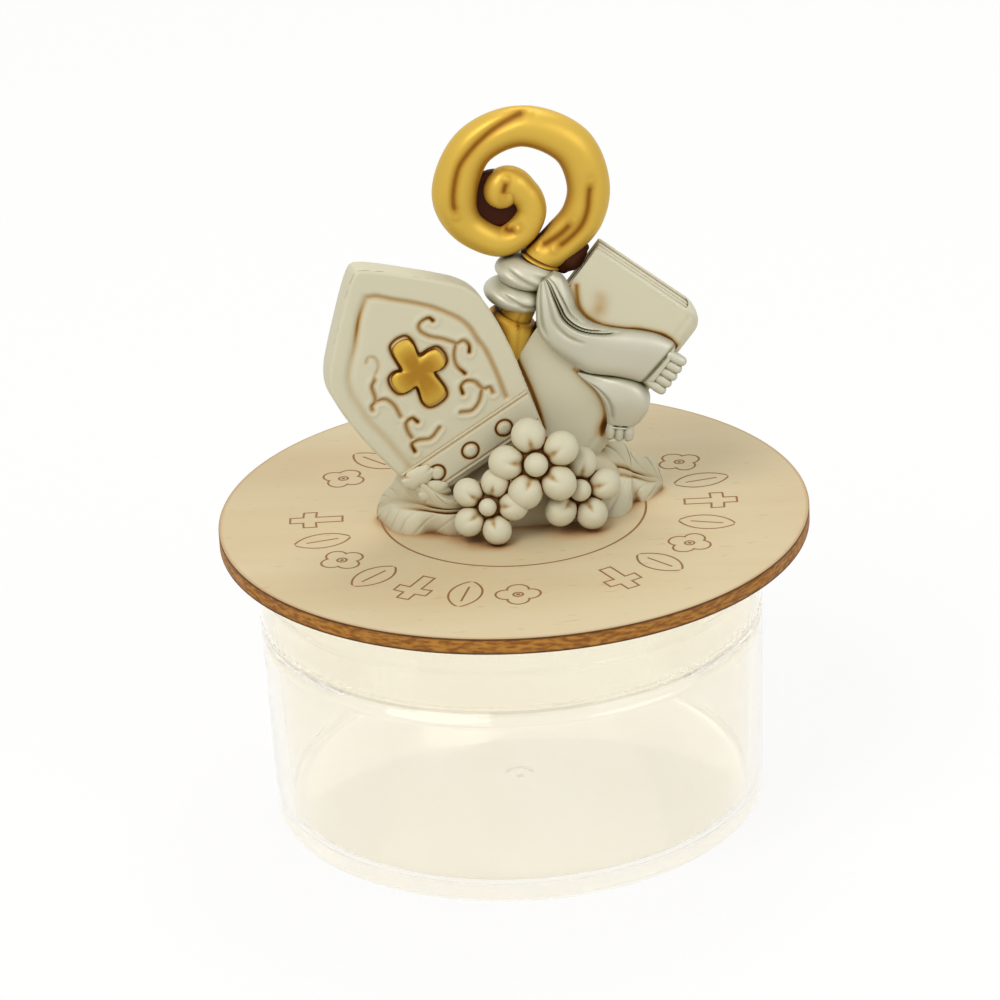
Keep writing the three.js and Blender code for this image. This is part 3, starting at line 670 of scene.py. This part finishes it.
def mitre_face(x, y):
    """Height and wash of the frame line, the vines and the ring round the cross."""
    frame_gap = gap_to(x, y, frame_points)
    frame_width = 0.32 + 0.2 * np.clip(0.5 - x / 2, 0, 1)
    vine = gap_to(x, y, vine_points)
    faint = gap_to(x, y, faint_points)
    ring = gap_to(x, y, cross_edge)
    tips = gap_to(x, y, vine_tips)
    height = -0.3 * ridge(frame_gap, frame_width) - 0.32 * ridge(ring, 0.28)
    height += 0.1 * ridge(vine - 0.6, 0.28) - 0.28 * ridge(vine, 0.24) - 0.18 * ridge(faint, 0.22)
    browned = np.where(x < -0.7, 0.17 + 0.45 * ridge(y - 24, 2.2), 0.42)
    wash = browned * ridge(frame_gap, 0.3) + (0.5 + 0.4 * ridge(tips, 0.9)) * ridge(vine, 0.26)
    wash += 0.25 * ridge(faint, 0.22) + 0.66 * ridge(ring, 0.17) + 0.22 * ridge(ring, 0.42)
    return height, wash


mitre_place = stand(-2.28, 7.82, 4, 14, 0, 28)
rounding = []
for angle in np.linspace(0, 1.5, 7):
    behind = back_round * (1 - math.sin(angle)) - mitre_thickness
    rounding.append((1 - 0.125 * (1 - math.cos(angle)), behind))
slab, wash = relief(mitre_half, 190, 260, mitre_face, 0.45, 14, rounding)
place("mitre_slab", slab, "ivory_resin", ["mitre"], at=mitre_place, wash=wash)

band_foot = 0.75
band_top = 5.15
upper_line = band_top - 0.4
lower_line = band_foot + 0.4
stud_spots = [(-0.5 + 4.73 * k, 2.7) for k in (-1, 0, 1)]


def band_face(x, y):
    """Height and wash of the band's two lines and of the rings round its studs."""
    ring = np.min([np.abs(np.hypot(x - sx, y - sy) - 1) for sx, sy in stud_spots], axis=0)
    height = 0.25 - 0.14 * ridge(y - upper_line, 0.16) - 0.12 * ridge(y - lower_line, 0.14)
    wash = 0.3 * ridge(y - upper_line, 0.14) + 0.3 * ridge(y - lower_line, 0.14)
    return height - 0.2 * ridge(ring, 0.15), wash + 0.95 * ridge(ring, 0.16)


band_half = [(8.15, band_foot), (8.9, band_top)]
band_middle = (band_foot + band_top) / 2
band, wash = relief(band_half, 220, 60, band_face, 0.2, band_middle, [(1, -0.4)])
place("mitre_band_relief", band, "ivory_resin", ["mitre_band"], at=mitre_place, wash=wash)
stud = turned(filleted([(0, -0.2, 0), (0.72, -0.2, 0), (0.72, 0.42, 0.3), (0, 0.46, 0)]), 40)
for k, (x, y) in enumerate(stud_spots):
    spot = mitre_place @ Matrix.Translation((x, y, 0.05))
    place(f"band_stud_{k + 1}", stud, "ivory_resin", [f"mitre_stud_{k + 1}"], at=spot)


def sprig(wide, high, frills):
    """A small frilled sprig of leaf, domed, with notches round its edge and brown in them."""
    angle = np.arange(96) * 2 * math.pi / 96
    wave = 0.6 * np.cos(frills * angle + 1) + 0.4 * np.cos((frills + 3) * angle)
    rings = []
    stain = []
    for size in (1, 1.01, 0.97, 0.88, 0.74, 0.56, 0.36, 0.14):
        reach = size * (1 + 0.06 * wave * size)
        up = 0.36 * (1 - size**3) + 0.01 * wave * size if rings else 0 * angle - 0.5
        ring = [wide * reach * np.cos(angle), high * reach * np.sin(angle), up]
        rings.append(np.stack(ring, axis=1))
        stain.append(0.7 * np.clip(-wave - 0.4, 0, 1) * size**3)
    return ringed(rings), np.concatenate(stain)


for name, x, y, wide, high, frills, slant in (
    ("sprig_by_stud", -7.25, 3.7, 1.95, 1.25, 6, -8),
    ("sprig_at_foot", -6.7, 0.9, 1.9, 1.45, 7, -30),
):
    shape, wash = sprig(wide, high, frills)
    spot = mitre_place @ Matrix.Translation((x, y, 0.35)) @ spin("Z", slant)
    place(name, shape, "ivory_resin", at=spot, wash=wash)

# Cross
# A raised cross with lobed arms in the middle of the mitre's face, painted gold over a
# brown ground that shows as a line all round it.
gold = colour(209, 174, 74)
# The gold as it looks in painted shade, used in hollows
gold_painted_shade = colour(172, 126, 28)
brass = colour(158, 104, 14)
amber = colour(54, 18, 0)
antique("gold_resin", gold, gold_painted_shade, brass, amber, 0.36, 0.4)

rings = [np.insert(cross_shape, 2, -0.6, axis=1)]
for size in (1, 0.99, 0.96, 0.92, 0.86, 0.78, 0.66, 0.5, 0.3, 0.12):
    lifted = 0.02 + 0.5 * (1 - size**5) ** 0.6 - 0.12 * (1 - size)
    rings.append(np.insert(cross_shape * size, 2, lifted, axis=1))
wash = np.repeat([0.7, 0.6, 0.35, 0.1, 0, 0, 0.15, 0.3, 0.4, 0.43, 0.43], len(cross_shape))
spot = mitre_place @ Matrix.Translation((*cross_centre, 0))
place("mitre_cross_gilt", ringed(rings), "gold_resin", ["mitre_cross"], at=spot, wash=wash)

# Crozier
# A bishop's staff: a thick round tube that winds in to a small ball, with long flutes that
# fade out on it. Below the curl a ring and a plain shaft go down behind the mitre.
curl_line = [
    (2.35, -8.55, 2.2), (4.7, -6.6, 2.4), (7.1, -3.9, 2.5), (8, 0, 2.5), (6.2, 5, 2.5),
    (0.5, 7.6, 2.4), (-5.1, 5.3, 2.5), (-7.5, -0.5, 2.65), (-6.33, -4.18, 2.13),
    (-2.5, -6.4, 1.88), (0, -5.18, 1.9), (1.3, -2.95, 1.75), (1.05, -1.35, 1.75),
    (0.4, -0.4, 1.8), (-0.45, 0.5, 1.9), (-1.4, 0.75, 2), (-2.1, 0.2, 2.1), (-2.1, -0.2, 2.1),
]
flute_lines = [
    [(1.7, 9.7), (0.2, 9.4), (-2, 8.4), (-4, 7), (-5.67, 5.33), (-6.83, 3.67), (-7.5, 1.33),
     (-7.67, -0.67), (-7.4, -2.5)],
    [(8.33, 1.33), (8, -0.33), (7.73, -2.33), (7, -4.2), (5.4, -5.9), (3.6, -7.2)],
    [(6.2, -3.5), (4.8, -5), (3.2, -6.2), (1.6, -7.2)],
    [(-1.33, 1.7), (-1.7, 0.6), (-2, -0.5)],
    [(-2.3, -4), (-1.5, -4.8), (-0.4, -4.5)],
]
shadow_fill_line = [(7.3, -7.5, 0.5), (6.5, -8.3, 1), (5.5, -9.1, 1.25), (4.7, -9.8, 0.8)]


def tube(line, sides):
    """A round tube along a line of (x, y, radius) in the plane z = 0, with rounded ends."""
    path, radii = line[:, :2], line[:, 2]
    tangent = np.gradient(path, axis=0)
    tangent /= np.linalg.norm(tangent, axis=1)[:, None]
    after = np.linspace(0, 0.49 * math.pi, 8)[1:]
    before = after[::-1]
    start = path[0] - np.sin(before)[:, None] * radii[0] * tangent[0]
    end = path[-1] + np.sin(after)[:, None] * radii[-1] * tangent[-1]
    path = np.concatenate([start, path, end])
    radii = np.concatenate([np.cos(before) * radii[0], radii, np.cos(after) * radii[-1]])
    tangent = np.pad(tangent, ((len(before), len(after)), (0, 0)), mode="edge")
    angle = np.arange(sides) * 2 * math.pi / sides
    sideways = np.stack([tangent[:, 1], -tangent[:, 0]], axis=1)
    flat = path[:, None] + (radii[:, None] * np.cos(angle))[..., None] * sideways[:, None]
    up = radii[:, None] * np.sin(angle)
    return ringed(np.concatenate([flat, up[..., None]], axis=-1))


crozier_place = stand(3.25, 40.1, -1.5, 0, 0, 0)
curl_sides = 64
points, faces = tube(smooth(curl_line, 460), curl_sides)
wash = np.zeros(len(points))
for flute in flute_lines:
    way = smooth(flute, 120)
    near = gap_to(points[:, 0], points[:, 1], way)
    fade = 1.2 if len(flute) > 3 else 0.7
    start = np.clip(np.hypot(*(points[:, :2] - way[0]).T) / fade, 0, 1)
    end = np.clip(np.hypot(*(points[:, :2] - way[-1]).T) / fade, 0, 1)
    facing = np.clip(np.abs(points[:, 2]) / 1.2, 0, 1) * start * end
    points[:, 2] -= np.sign(points[:, 2]) * 0.45 * ridge(near, 0.62) * facing
    wash += 0.6 * ridge(near, 0.47) * facing
angle = np.tile(np.arange(curl_sides) * 2 * math.pi / curl_sides, len(points) // curl_sides)
inner_edge = math.pi - 0.4 - 0.42 * points[:, 1] / np.hypot(points[:, 0] + 0.3, points[:, 1])
wash += 0.48 * ridge(angle - inner_edge, 0.36)
curl = (points, faces)
place("crozier_volute", curl, "gold_resin", ["crozier_curl"], at=crozier_place, wash=wash)

# A web across the gap in the curl and a fill between the curl and the book, both painted all dark
# as painted shadow
shadow_web = turned(filleted([(0, -0.9, 0), (3.38, -0.9, 0.3), (3.38, 0.35, 0.3), (0, 0.35, 0)]), 60)
shadow_fill = tube(smooth(shadow_fill_line, 40), 40)
for name, shape, x, y, z in (
    ("crozier_shadow_web", shadow_web, -2.85, -1.1, 0),
    ("crozier_shadow_fill", shadow_fill, 0, 0, 0.6),
):
    spot = crozier_place @ Matrix.Translation((x, y, z))
    place(name, shape, "gold_resin", at=spot, wash=1)

neck_place = crozier_place @ Matrix.Translation((2.35, -8.55, 0)) @ spin("Z", -26)
down_the_neck = neck_place @ spin("X", -90)
collar_bulge = -0.45
collar = [
    (0, -0.9, 0),
    (2.3, -0.9, 0.1),
    (2.3, -0.7, 0.05),
    (2.62, collar_bulge, 0.2),
    (2.3, -0.2, 0.05),
    (2.2, 0, 0.1),
    (0, 0, 0),
]
ring = turned(filleted(collar), 64)
wash = 0.8 * (1 - ridge(ring[0][:, 2] - collar_bulge, 0.22))
place("crozier_ring", ring, "gold_resin", ["crozier_ferrule"], at=down_the_neck, wash=wash)

staff_radius = 3
staff = [
    (0, -27.2, 0),
    (staff_radius, -27.2, 0.3),
    *[(staff_radius, z, 0) for z in np.linspace(-26.5, -8.6, 40)],
    (2.6, -8, 0.2),
    (2, -8, 0.1),
    (2, -1.2, 0.2),
    (0, -1.2, 0),
]
shaft = turned(filleted(staff), 72)
x, y, z = shaft[0].T
wash = 0.5 * ridge(z + 8.3, 0.3) + 0.34 * ridge(np.sin(2.5 * np.arctan2(y, x) + z / 3), 0.2)
place("crozier_staff", shaft, "gold_resin", ["crozier_shaft"], at=down_the_neck, wash=wash)

# Book
# A closed book that leans against the crozier, cast as two boards with a round spine on the
# right and a block of pages drawn as a few thick sheets. Its cover has brown stains, and
# painted shade along the edges where the stole's ends and the mitre lie over it.
book_width = 15.35
book_height = 25.2
book_thickness = 4
board = 0.55
corner_round = 2.2
book_place = stand(10.37, 18.43, 1.37, -6, 0, -37)
half_depth = book_thickness / 2
spine_at = book_width / 2 - half_depth


def book_section(left, front, back, radius):
    """The outline of a flat section with a round spine, as (x, z) points in three parts."""
    angle = np.linspace(math.pi / 2, -math.pi / 2, 30)
    bulge = [radius * np.cos(angle), (front + back) / 2 + (front - back) / 2 * np.sin(angle)]
    spine = np.stack([spine_at + bulge[0], bulge[1]], axis=1)
    top = np.stack([np.linspace(left + 0.2, spine_at, 110), np.full(110, front)], axis=1)
    low = np.stack([np.linspace(spine_at, left + 0.2, 20), np.full(20, back)], axis=1)
    return top, spine[1:-1], low


def book_form(section_of, half_height):
    """A section drawn out from the book's foot to its head, with the spine's corners rounded."""
    bevel = 0.1
    heights = np.linspace(0.9 * bevel - half_height, half_height - 0.9 * bevel, 170)
    rings = []
    for y in (-half_height, *heights, half_height):
        x, z = section_of(bevel if abs(y) == half_height else 0).T
        past = max(abs(y) - (half_height - corner_round), 0)
        drawn_in = corner_round - math.sqrt(max(corner_round**2 - past**2, 0))
        share = np.clip((x - spine_at + 2) / 4, 0, 1)
        rings.append(np.stack([x - drawn_in * share, 0 * x + y, z], axis=1))
    return ringed(rings)


def boards_section(inset):
    """Both boards and the spine between them, open at the fore edge."""
    left = -book_width / 2 + inset
    top, spine, low = book_section(left, -inset, inset - book_thickness, half_depth - inset)
    inner_front = inset - board
    inner_back = board - book_thickness - inset
    within = book_section(left, inner_front, inner_back, half_depth - board)
    inside = np.concatenate([part[::-1] for part in within[::-1]])
    front_edge = [(left, -0.2)]
    back_edge = [(left, 0.2 - book_thickness)]
    return np.concatenate([front_edge, top, spine, low, back_edge, inside])


long_end_edge = [
    (-7, 7.6), (-6.3, 6.7), (-5.3, 5.7), (-4, 5.15), (-2.5, 5.15), (-1, 5.6), (0.5, 6.3),
    (2, 7.3), (3.5, 8), (5, 8.5), (6.3, 8.3), (7, 7.9),
]
short_end_edge = [
    (-1.2, -1.2), (0.5, -1.6), (2.3, -2), (3.7, -2.7), (4.9, -3.8), (5.6, -5), (6.2, -6.2),
]
mitre_edge = [(-7.6, -3.9), (-3.8, -6.3), (-0.9, -8.5), (0.2, -9.5)]
points, faces = book_form(boards_section, book_height / 2)
x, y, z = points.T
front = z > -0.5
points[:, 2] -= 0.12 * ridge(x - spine_at - 0.2, 0.35) * front
# Painted shade along the edges of the stole's ends and of the mitre where they lie over the cover
shade_by_long_end = ridge(gap_to(x, y, smooth(long_end_edge, 120)), 0.38)
shade_by_short_end = ridge(gap_to(x, y, smooth(short_end_edge, 90)), 0.3)
shade_by_mitre = ridge(gap_to(x, y, smooth(mitre_edge, 80)), 0.3)
lower_smudge = ridge(np.hypot((x + 3.2) / 0.9, (y - 6.7) / 1.2), 1)
upper_smudge = ridge(np.hypot((x + 4) / 0.9, (y - 8.1) / 0.8), 1)
low_spot = ridge(np.hypot((x - 5.8) / 0.8, (y + 5) / 1.3), 1)
wash = shade_by_long_end * (0.6 + 0.35 * np.clip((x + 1.5) / 1.5, 0, 1)) + 0.5 * shade_by_short_end
wash += 0.7 * shade_by_mitre + 0.36 * (lower_smudge + 0.6 * upper_smudge) + 0.6 * low_spot
wash = wash * front - 0.6 * (y > book_height / 2 - 0.4)
boards = (points, faces)
place("book_boards", boards, "ivory_resin", ["book_cover"], at=book_place, wash=wash)

sheets = 3
sheet_gap = 0.28
room = book_thickness - 2 * board - 0.1


def sheet_section(top_z, inset):
    """The outline of one thick sheet between the boards."""
    left = 0.06 - book_width / 2 + inset
    low_z = top_z - room / sheets + sheet_gap
    radius = half_depth - board - 0.1 - inset
    return np.concatenate(book_section(left, top_z - inset, low_z + inset, radius))


def gathered(shapes):
    """Many closed forms as one list of points and one of faces."""
    faces = []
    start = 0
    for points, corners in shapes:
        faces += [[start + corner for corner in face] for face in corners]
        start += len(points)
    return np.concatenate([points for points, corners in shapes]), faces


shapes = []
for k in range(sheets):
    top_z = -board - 0.05 - room * k / sheets
    shapes.append(book_form(lambda inset: sheet_section(top_z, inset), book_height / 2 - 0.12))
pages = gathered(shapes)
place("book_sheets", pages, "ivory_resin", ["book_pages"], at=book_place, wash=-0.5)

# Stole
# A long narrow vestment, wound twice round the crozier's neck with its two fringed ends laid
# over the book. It is painted in soft silver, and the wash is a dark green grey in its folds.
silver = colour(197, 195, 178)
# The silver as it looks in painted shade, used in hollows
silver_painted_shade = colour(160, 158, 134)
moss = colour(138, 134, 98)
slate = colour(64, 56, 14)
antique("silver_resin", silver, silver_painted_shade, moss, slate, 0.38, 0.3, 1.5, 0.8)


def wrap_form(top, height, radius, creases):
    """One turn of cloth round the neck.

    Creases are given as (rise at the front, slope, depth, middle, spread).
    """
    columns = 120
    angle = np.arange(columns) * 2 * math.pi / columns
    rings = []
    wash = []
    for rise in np.linspace(0, 1, 44):
        barrel = np.sin(math.pi * (0.1 + 0.8 * rise)) ** 0.38
        sunk = 0 * angle
        for front, slope, depth, middle, spread in creases:
            near = ridge(np.angle(np.exp(1j * (angle - middle))), spread)
            sunk += depth * ridge(rise - front - slope * np.cos(angle), 0.1) * near
        wide = radius * barrel * (1 - sunk)
        x = wide * np.cos(angle)
        tilt = math.tan(math.radians(11)) * x
        ring = [x - 0.9, top - height * (1 - rise) + tilt, wide * np.sin(angle)]
        rings.append(np.stack(ring, axis=1))
        wash.append(3.2 * sunk * ridge(sunk - 0.14, 0.12))
    return ringed(rings), np.concatenate(wash)


upper_creases = [
    (0.42, -0.3, 0.1, 1.9, 0.9),
    (0.74, -0.25, 0.07, 1.1, 0.7),
    (0.3, 0.1, 0.09, 2.9, 0.5),
]
lower_creases = [
    (0.5, -0.34, 0.1, 1.8, 0.8),
    (0.78, -0.15, 0.08, 2.5, 0.6),
    (0.3, 0.25, 0.08, 0.9, 0.5),
]
for name, top, height, radius, creases, node in (
    ("stole_upper_turn", -0.7, 3.4, 3.72, upper_creases, "stole_wrap_upper"),
    ("stole_lower_turn", -3.9, 3, 3.85, lower_creases, "stole_wrap_lower"),
):
    shape, wash = wrap_form(top, height, radius, creases)
    place(name, shape, "silver_resin", [node], at=neck_place, wash=wash)


def eased(levels, steps):
    """Levels spread evenly over a number of steps, with the corners between them softened."""
    reach = 15
    share = np.linspace(0, 1, steps + 1)
    run = np.interp(share, np.linspace(0, 1, len(levels)), levels)
    span = 2 * reach + 1
    return np.convolve(np.pad(run, reach, mode="edge"), np.full(span, 1 / span), "valid")


def laid(upper, lower, lifts, thickness, creases, hem):
    """Cloth laid between two edges of (x, y) points, and its wash.

    Creases are given as (position, drift, depth, width, from, to).
    """
    steps = 170
    high = smooth(upper, steps)
    low = smooth(lower, steps)
    t = np.linspace(0, 1, steps + 1)
    lift = eased(lifts, steps)
    thick = eased(thickness, steps)
    rows = []
    stain = []
    for v in np.linspace(0, 1, 70):
        edge = (1 - abs(2 * v - 1) ** 4) ** 0.5
        crease = 0.3 * ridge(t - hem, 0.012)
        dark = 0.5 * ridge(t - hem, 0.01)
        for starts, drift, depth, width, begin, stop in creases:
            there = np.clip((t - begin) / 0.08, 0, 1) * np.clip((stop - t) / 0.08, 0, 1)
            line_gap = v - starts - drift * t
            crease += depth * ridge(line_gap, width) * there
            dark += 1.6 * depth * ridge(line_gap, width * 0.6) * there
        rows.append(np.column_stack([low + (high - low) * v, lift + thick * edge * (1 - crease)]))
        stain.append(np.minimum(dark, 0.9))
    back = [row * [1, 1, 0] + [0, 0, -0.25] for row in (rows[-1], rows[0])]
    wash = np.stack([*stain, 0 * t, 0 * t], axis=1).reshape(-1)
    return ringed(np.stack([*rows, *back], axis=1)), wash


on_book = book_place @ Matrix.Translation((book_width / 2 - 0.95, -6.9, 0))
long_upper = [
    (-16.9, 14.4), (-15.9, 14.6), (-14.6, 14.1), (-13.37, 13.3), (-12.2, 12.33), (-10.2, 11.83),
    (-8.2, 12.33), (-6.53, 13.17), (-4.53, 14.33), (-2.53, 15.17), (-0.4, 15.3), (0.2, 14.6),
]
long_lower = [
    (-17.6, 12.6), (-17, 11.2), (-16.1, 9.7), (-14.9, 8.1), (-13.4, 7), (-11.2, 6.43),
    (-8.87, 6.33), (-6.87, 6.33), (-5.53, 6.93), (-3.87, 7.83), (-1.87, 8.67), (0.2, 9.3),
]
long_lifts = [0.9, 0.8, 0.5, 0.2, 0, 0, 0, 0]
long_thickness = [0.2, 1.7, 1.9, 2, 2, 1.9, 1.7, 1.2]
long_creases = [
    (0.47, 0.8, 0.34, 0.03, -0.2, 0.64),
    (0.54, 0.8, 0.3, 0.026, -0.2, 0.56),
    (0.68, 0.7, 0.2, 0.03, -0.2, 0.42),
    (0.34, 0.5, 0.14, 0.05, -0.2, 0.5),
    (0.14, 0.14, 0.2, 0.05, -0.2, 0.34),
]
tail, wash = laid(long_upper, long_lower, long_lifts, long_thickness, long_creases, 0.955)
place("stole_long_end", tail, "silver_resin", ["stole_tail_long"], at=on_book, wash=wash)

short_upper = [
    (-7.4, 5.9), (-6.7, 6.3), (-4.7, 7.5), (-2.7, 8.6), (-0.7, 9), (0.9, 8.4), (1.9, 6.9),
    (2.1, 5.3), (1.8, 3.9),
]
short_lower = [(-7.4, 5.6), (-6.7, 5.4), (-4.7, 5.2), (-3.2, 4.6), (-1.9, 3.5), (-0.9, 2.3)]
short_thickness = [0.5, 1, 1.7, 2, 1.7, 1.2]
short_creases = [(0.16, 0, 0.16, 0.05, 0.2, 0.9)]
tail, wash = laid(short_upper, short_lower, [0, 0], short_thickness, short_creases, 0.97)
place("stole_short_end", tail, "silver_resin", ["stole_tail_short"], at=on_book, wash=wash)

tuft_length = 1.35


def fringe(count, width):
    """A row of plump tufts that point along X from a hem along Y."""
    pitch = width / count
    tufts = []
    for k in range(count):
        y = (k + 0.5) * pitch - width / 2
        lean = 0.12 * (y / width)
        reach = tuft_length * (1 - 0.12 * abs(2 * y / width))
        root = (-0.3, y, 0.55 * pitch)
        belly = (reach * 0.5, y + lean, 0.64 * pitch)
        tip = (reach, y + 2 * lean, 0.58 * pitch)
        tufts.append(tube(smooth([root, belly, tip], 20), 24))
    return gathered(tufts)


for name, x, y, z, heading, count, width, node in (
    ("long_fringe", 0.3, 12, 0.6, 2, 5, 5.2, "stole_fringe_long"),
    ("short_fringe", 0.45, 3.15, 0.5, -60, 3, 3, "stole_fringe_short"),
):
    spot = on_book @ Matrix.Translation((x, y, z)) @ spin("Z", heading)
    place(name, fringe(count, width), "silver_resin", [node], at=spot)

# Flowers
# Three five-petalled blossoms over the foot of the mitre and the book. Each petal is a plump
# round with a crease towards the heart, where the wash has gathered.
petal_radius = 2
petal_ring = 3.45


def petal(size):
    """One petal on the X axis, facing along Z, and the wash on it."""
    rings = []
    stain = []
    angle = np.arange(40) * 2 * math.pi / 40
    for polar in np.linspace(0.02, math.pi - 0.02, 30):
        x = np.sin(polar) * np.cos(angle)
        y = np.sin(polar) * np.sin(angle)
        z = np.cos(polar) + 0 * angle
        inner = np.clip((0.35 - x) / 0.9, 0, 1)
        crease = ridge(y, 0.16 + 0.12 * inner) * inner * np.clip(z + 0.3, 0, 1)
        plump = np.stack([x * 1.06, y * 1.02, z * 0.86], axis=1) * (1 - 0.2 * crease)[:, None]
        rings.append(plump * petal_radius * size + [petal_ring * size, 0, 0])
        streak = ridge(y, 0.1 + 0.14 * inner) * inner**1.1 * np.clip(z + 0.2, 0, 1)
        below = np.clip(-z - 0.1, 0, 1)
        stain.append(0.8 * streak + 0.5 * below - 0.3 * np.clip(z + 0.2, 0, 1))
    return ringed(rings), np.concatenate(stain)


def blossom(size, heart_radius):
    """Petals, heart and pad of one flower, facing along Z, and the wash on them."""
    (points, faces), stain = petal(size)
    shapes = [(moved(points, spin("Z", 72 * k)), faces) for k in range(5)]
    stains = [stain] * 5
    for wide, high, middle, wash in (
        (heart_radius, heart_radius, 0.95, -0.6),
        (petal_ring * size, 1.1 * size, -0.9, 0.5),
    ):
        angles = np.linspace(0, math.pi, 16)
        round_form = turned([(math.sin(a) * wide, middle - math.cos(a) * high) for a in angles], 40)
        shapes.append(round_form)
        stains.append(np.full(len(round_form[0]), wash))
    return gathered(shapes), np.concatenate(stains)


for name, x, y, z, yaw, start, size, heart_radius, node in (
    ("blossom_large", 3.65, 9.1, 7.5, 0, 30, 1, 1.42, "flower_large"),
    ("blossom_right", 8.5, 4.9, 6, 12, 5, 0.92, 1.3, "flower_right"),
    ("blossom_left", -2.1, 4.4, 8.4, -8, 2, 0.84, 1.05, "flower_left"),
):
    shape, wash = blossom(size, heart_radius)
    spot = stand(x, y, z, yaw, 20, start)
    place(name, shape, "ivory_resin", [node], at=spot, wash=wash)

# Stage, light and camera
# A white table under plain soft light, seen from the photograph's viewpoint. The camera,
# metal and glass see the table and the world as white.


def sees_white(tone):
    """1 for rays that see the white background, and 0 for the rest."""
    ray = tone.node("LightPath")
    names = ("Is Camera Ray", "Is Glossy Ray", "Is Transmission Ray")
    return most(*[ray.output(name) for name in names])


tone = finish("white_table")
lit = tone.node("BsdfDiffuse", None, {"Color": (0.86, 0.85, 0.82, 1)})
white = tone.node("Emission", None, {"Color": (1, 1, 1, 1), "Strength": 1})
surface = tone.node("MixShader", None, {0: sees_white(tone) * 0.88, 1: lit, 2: white})
tone.node("OutputMaterial", None, {"Surface": surface})

table_half = 3
table_height = -0.05 * mm
ends = (-table_half, table_half)
corners = [(x, y, table_height) for x in ends for y in ends]
top = bpy.data.meshes.new("table_top")
top.from_pydata(corners, [], [(0, 2, 3, 1)])
top.materials.append(finishes["white_table"])
table_top = bpy.data.objects.new("table_top", top)
bpy.context.scene.collection.objects.link(table_top)

world = bpy.data.worlds.new("studio")
bpy.context.scene.world = world
world.use_nodes = True
world.node_tree.nodes.clear()
tone = Tone(world.node_tree)
brightness = sees_white(tone) * 0.54 + 0.46
sky = tone.node("Background", None, {"Color": (1, 1, 1, 1), "Strength": brightness})
tone.node("OutputWorld", None, {"Surface": sky})

lit_point = Vector((0, 0, 0.045))
for name, spot, power, warmth in (
    ("key", (-0.35, -0.45, 0.75), 4.4, (1, 0.98, 0.94)),
    ("fill", (0.55, -0.5, 0.45), 1.7, (1, 0.99, 0.97)),
    ("back", (0.1, 0.35, 0.8), 2.3, (1, 1, 1)),
):
    light = bpy.data.lights.new(name, "AREA")
    light.shape = "DISK"
    light.size = 0.5
    light.energy = power
    light.color = warmth
    lamp = bpy.data.objects.new(name, light)
    lamp.location = spot
    lamp.rotation_euler = (lit_point - Vector(spot)).to_track_quat("-Z", "Y").to_euler()
    bpy.context.scene.collection.objects.link(lamp)

view = bpy.data.cameras.new("photograph")
view.lens = 185.07
view.sensor_width = 36
view.clip_end = 10
camera = bpy.data.objects.new("photograph", view)
eye = (-0.0007445, -0.5550075, 0.2881911)
pitch = math.radians(24.2315)
roll = math.radians(-2.8447)
forward = Vector((0, math.cos(pitch), -math.sin(pitch)))
level = Vector((1, 0, 0))
rise = Vector((0, math.sin(pitch), math.cos(pitch)))
right = math.cos(roll) * level + math.sin(roll) * rise
up = math.cos(roll) * rise - math.sin(roll) * level
facing = Matrix((right, up, -forward)).transposed().to_4x4()
camera.matrix_world = Matrix.Translation(eye) @ facing
bpy.context.scene.collection.objects.link(camera)
bpy.context.scene.camera = camera
bpy.context.scene.view_settings.view_transform = "Standard"
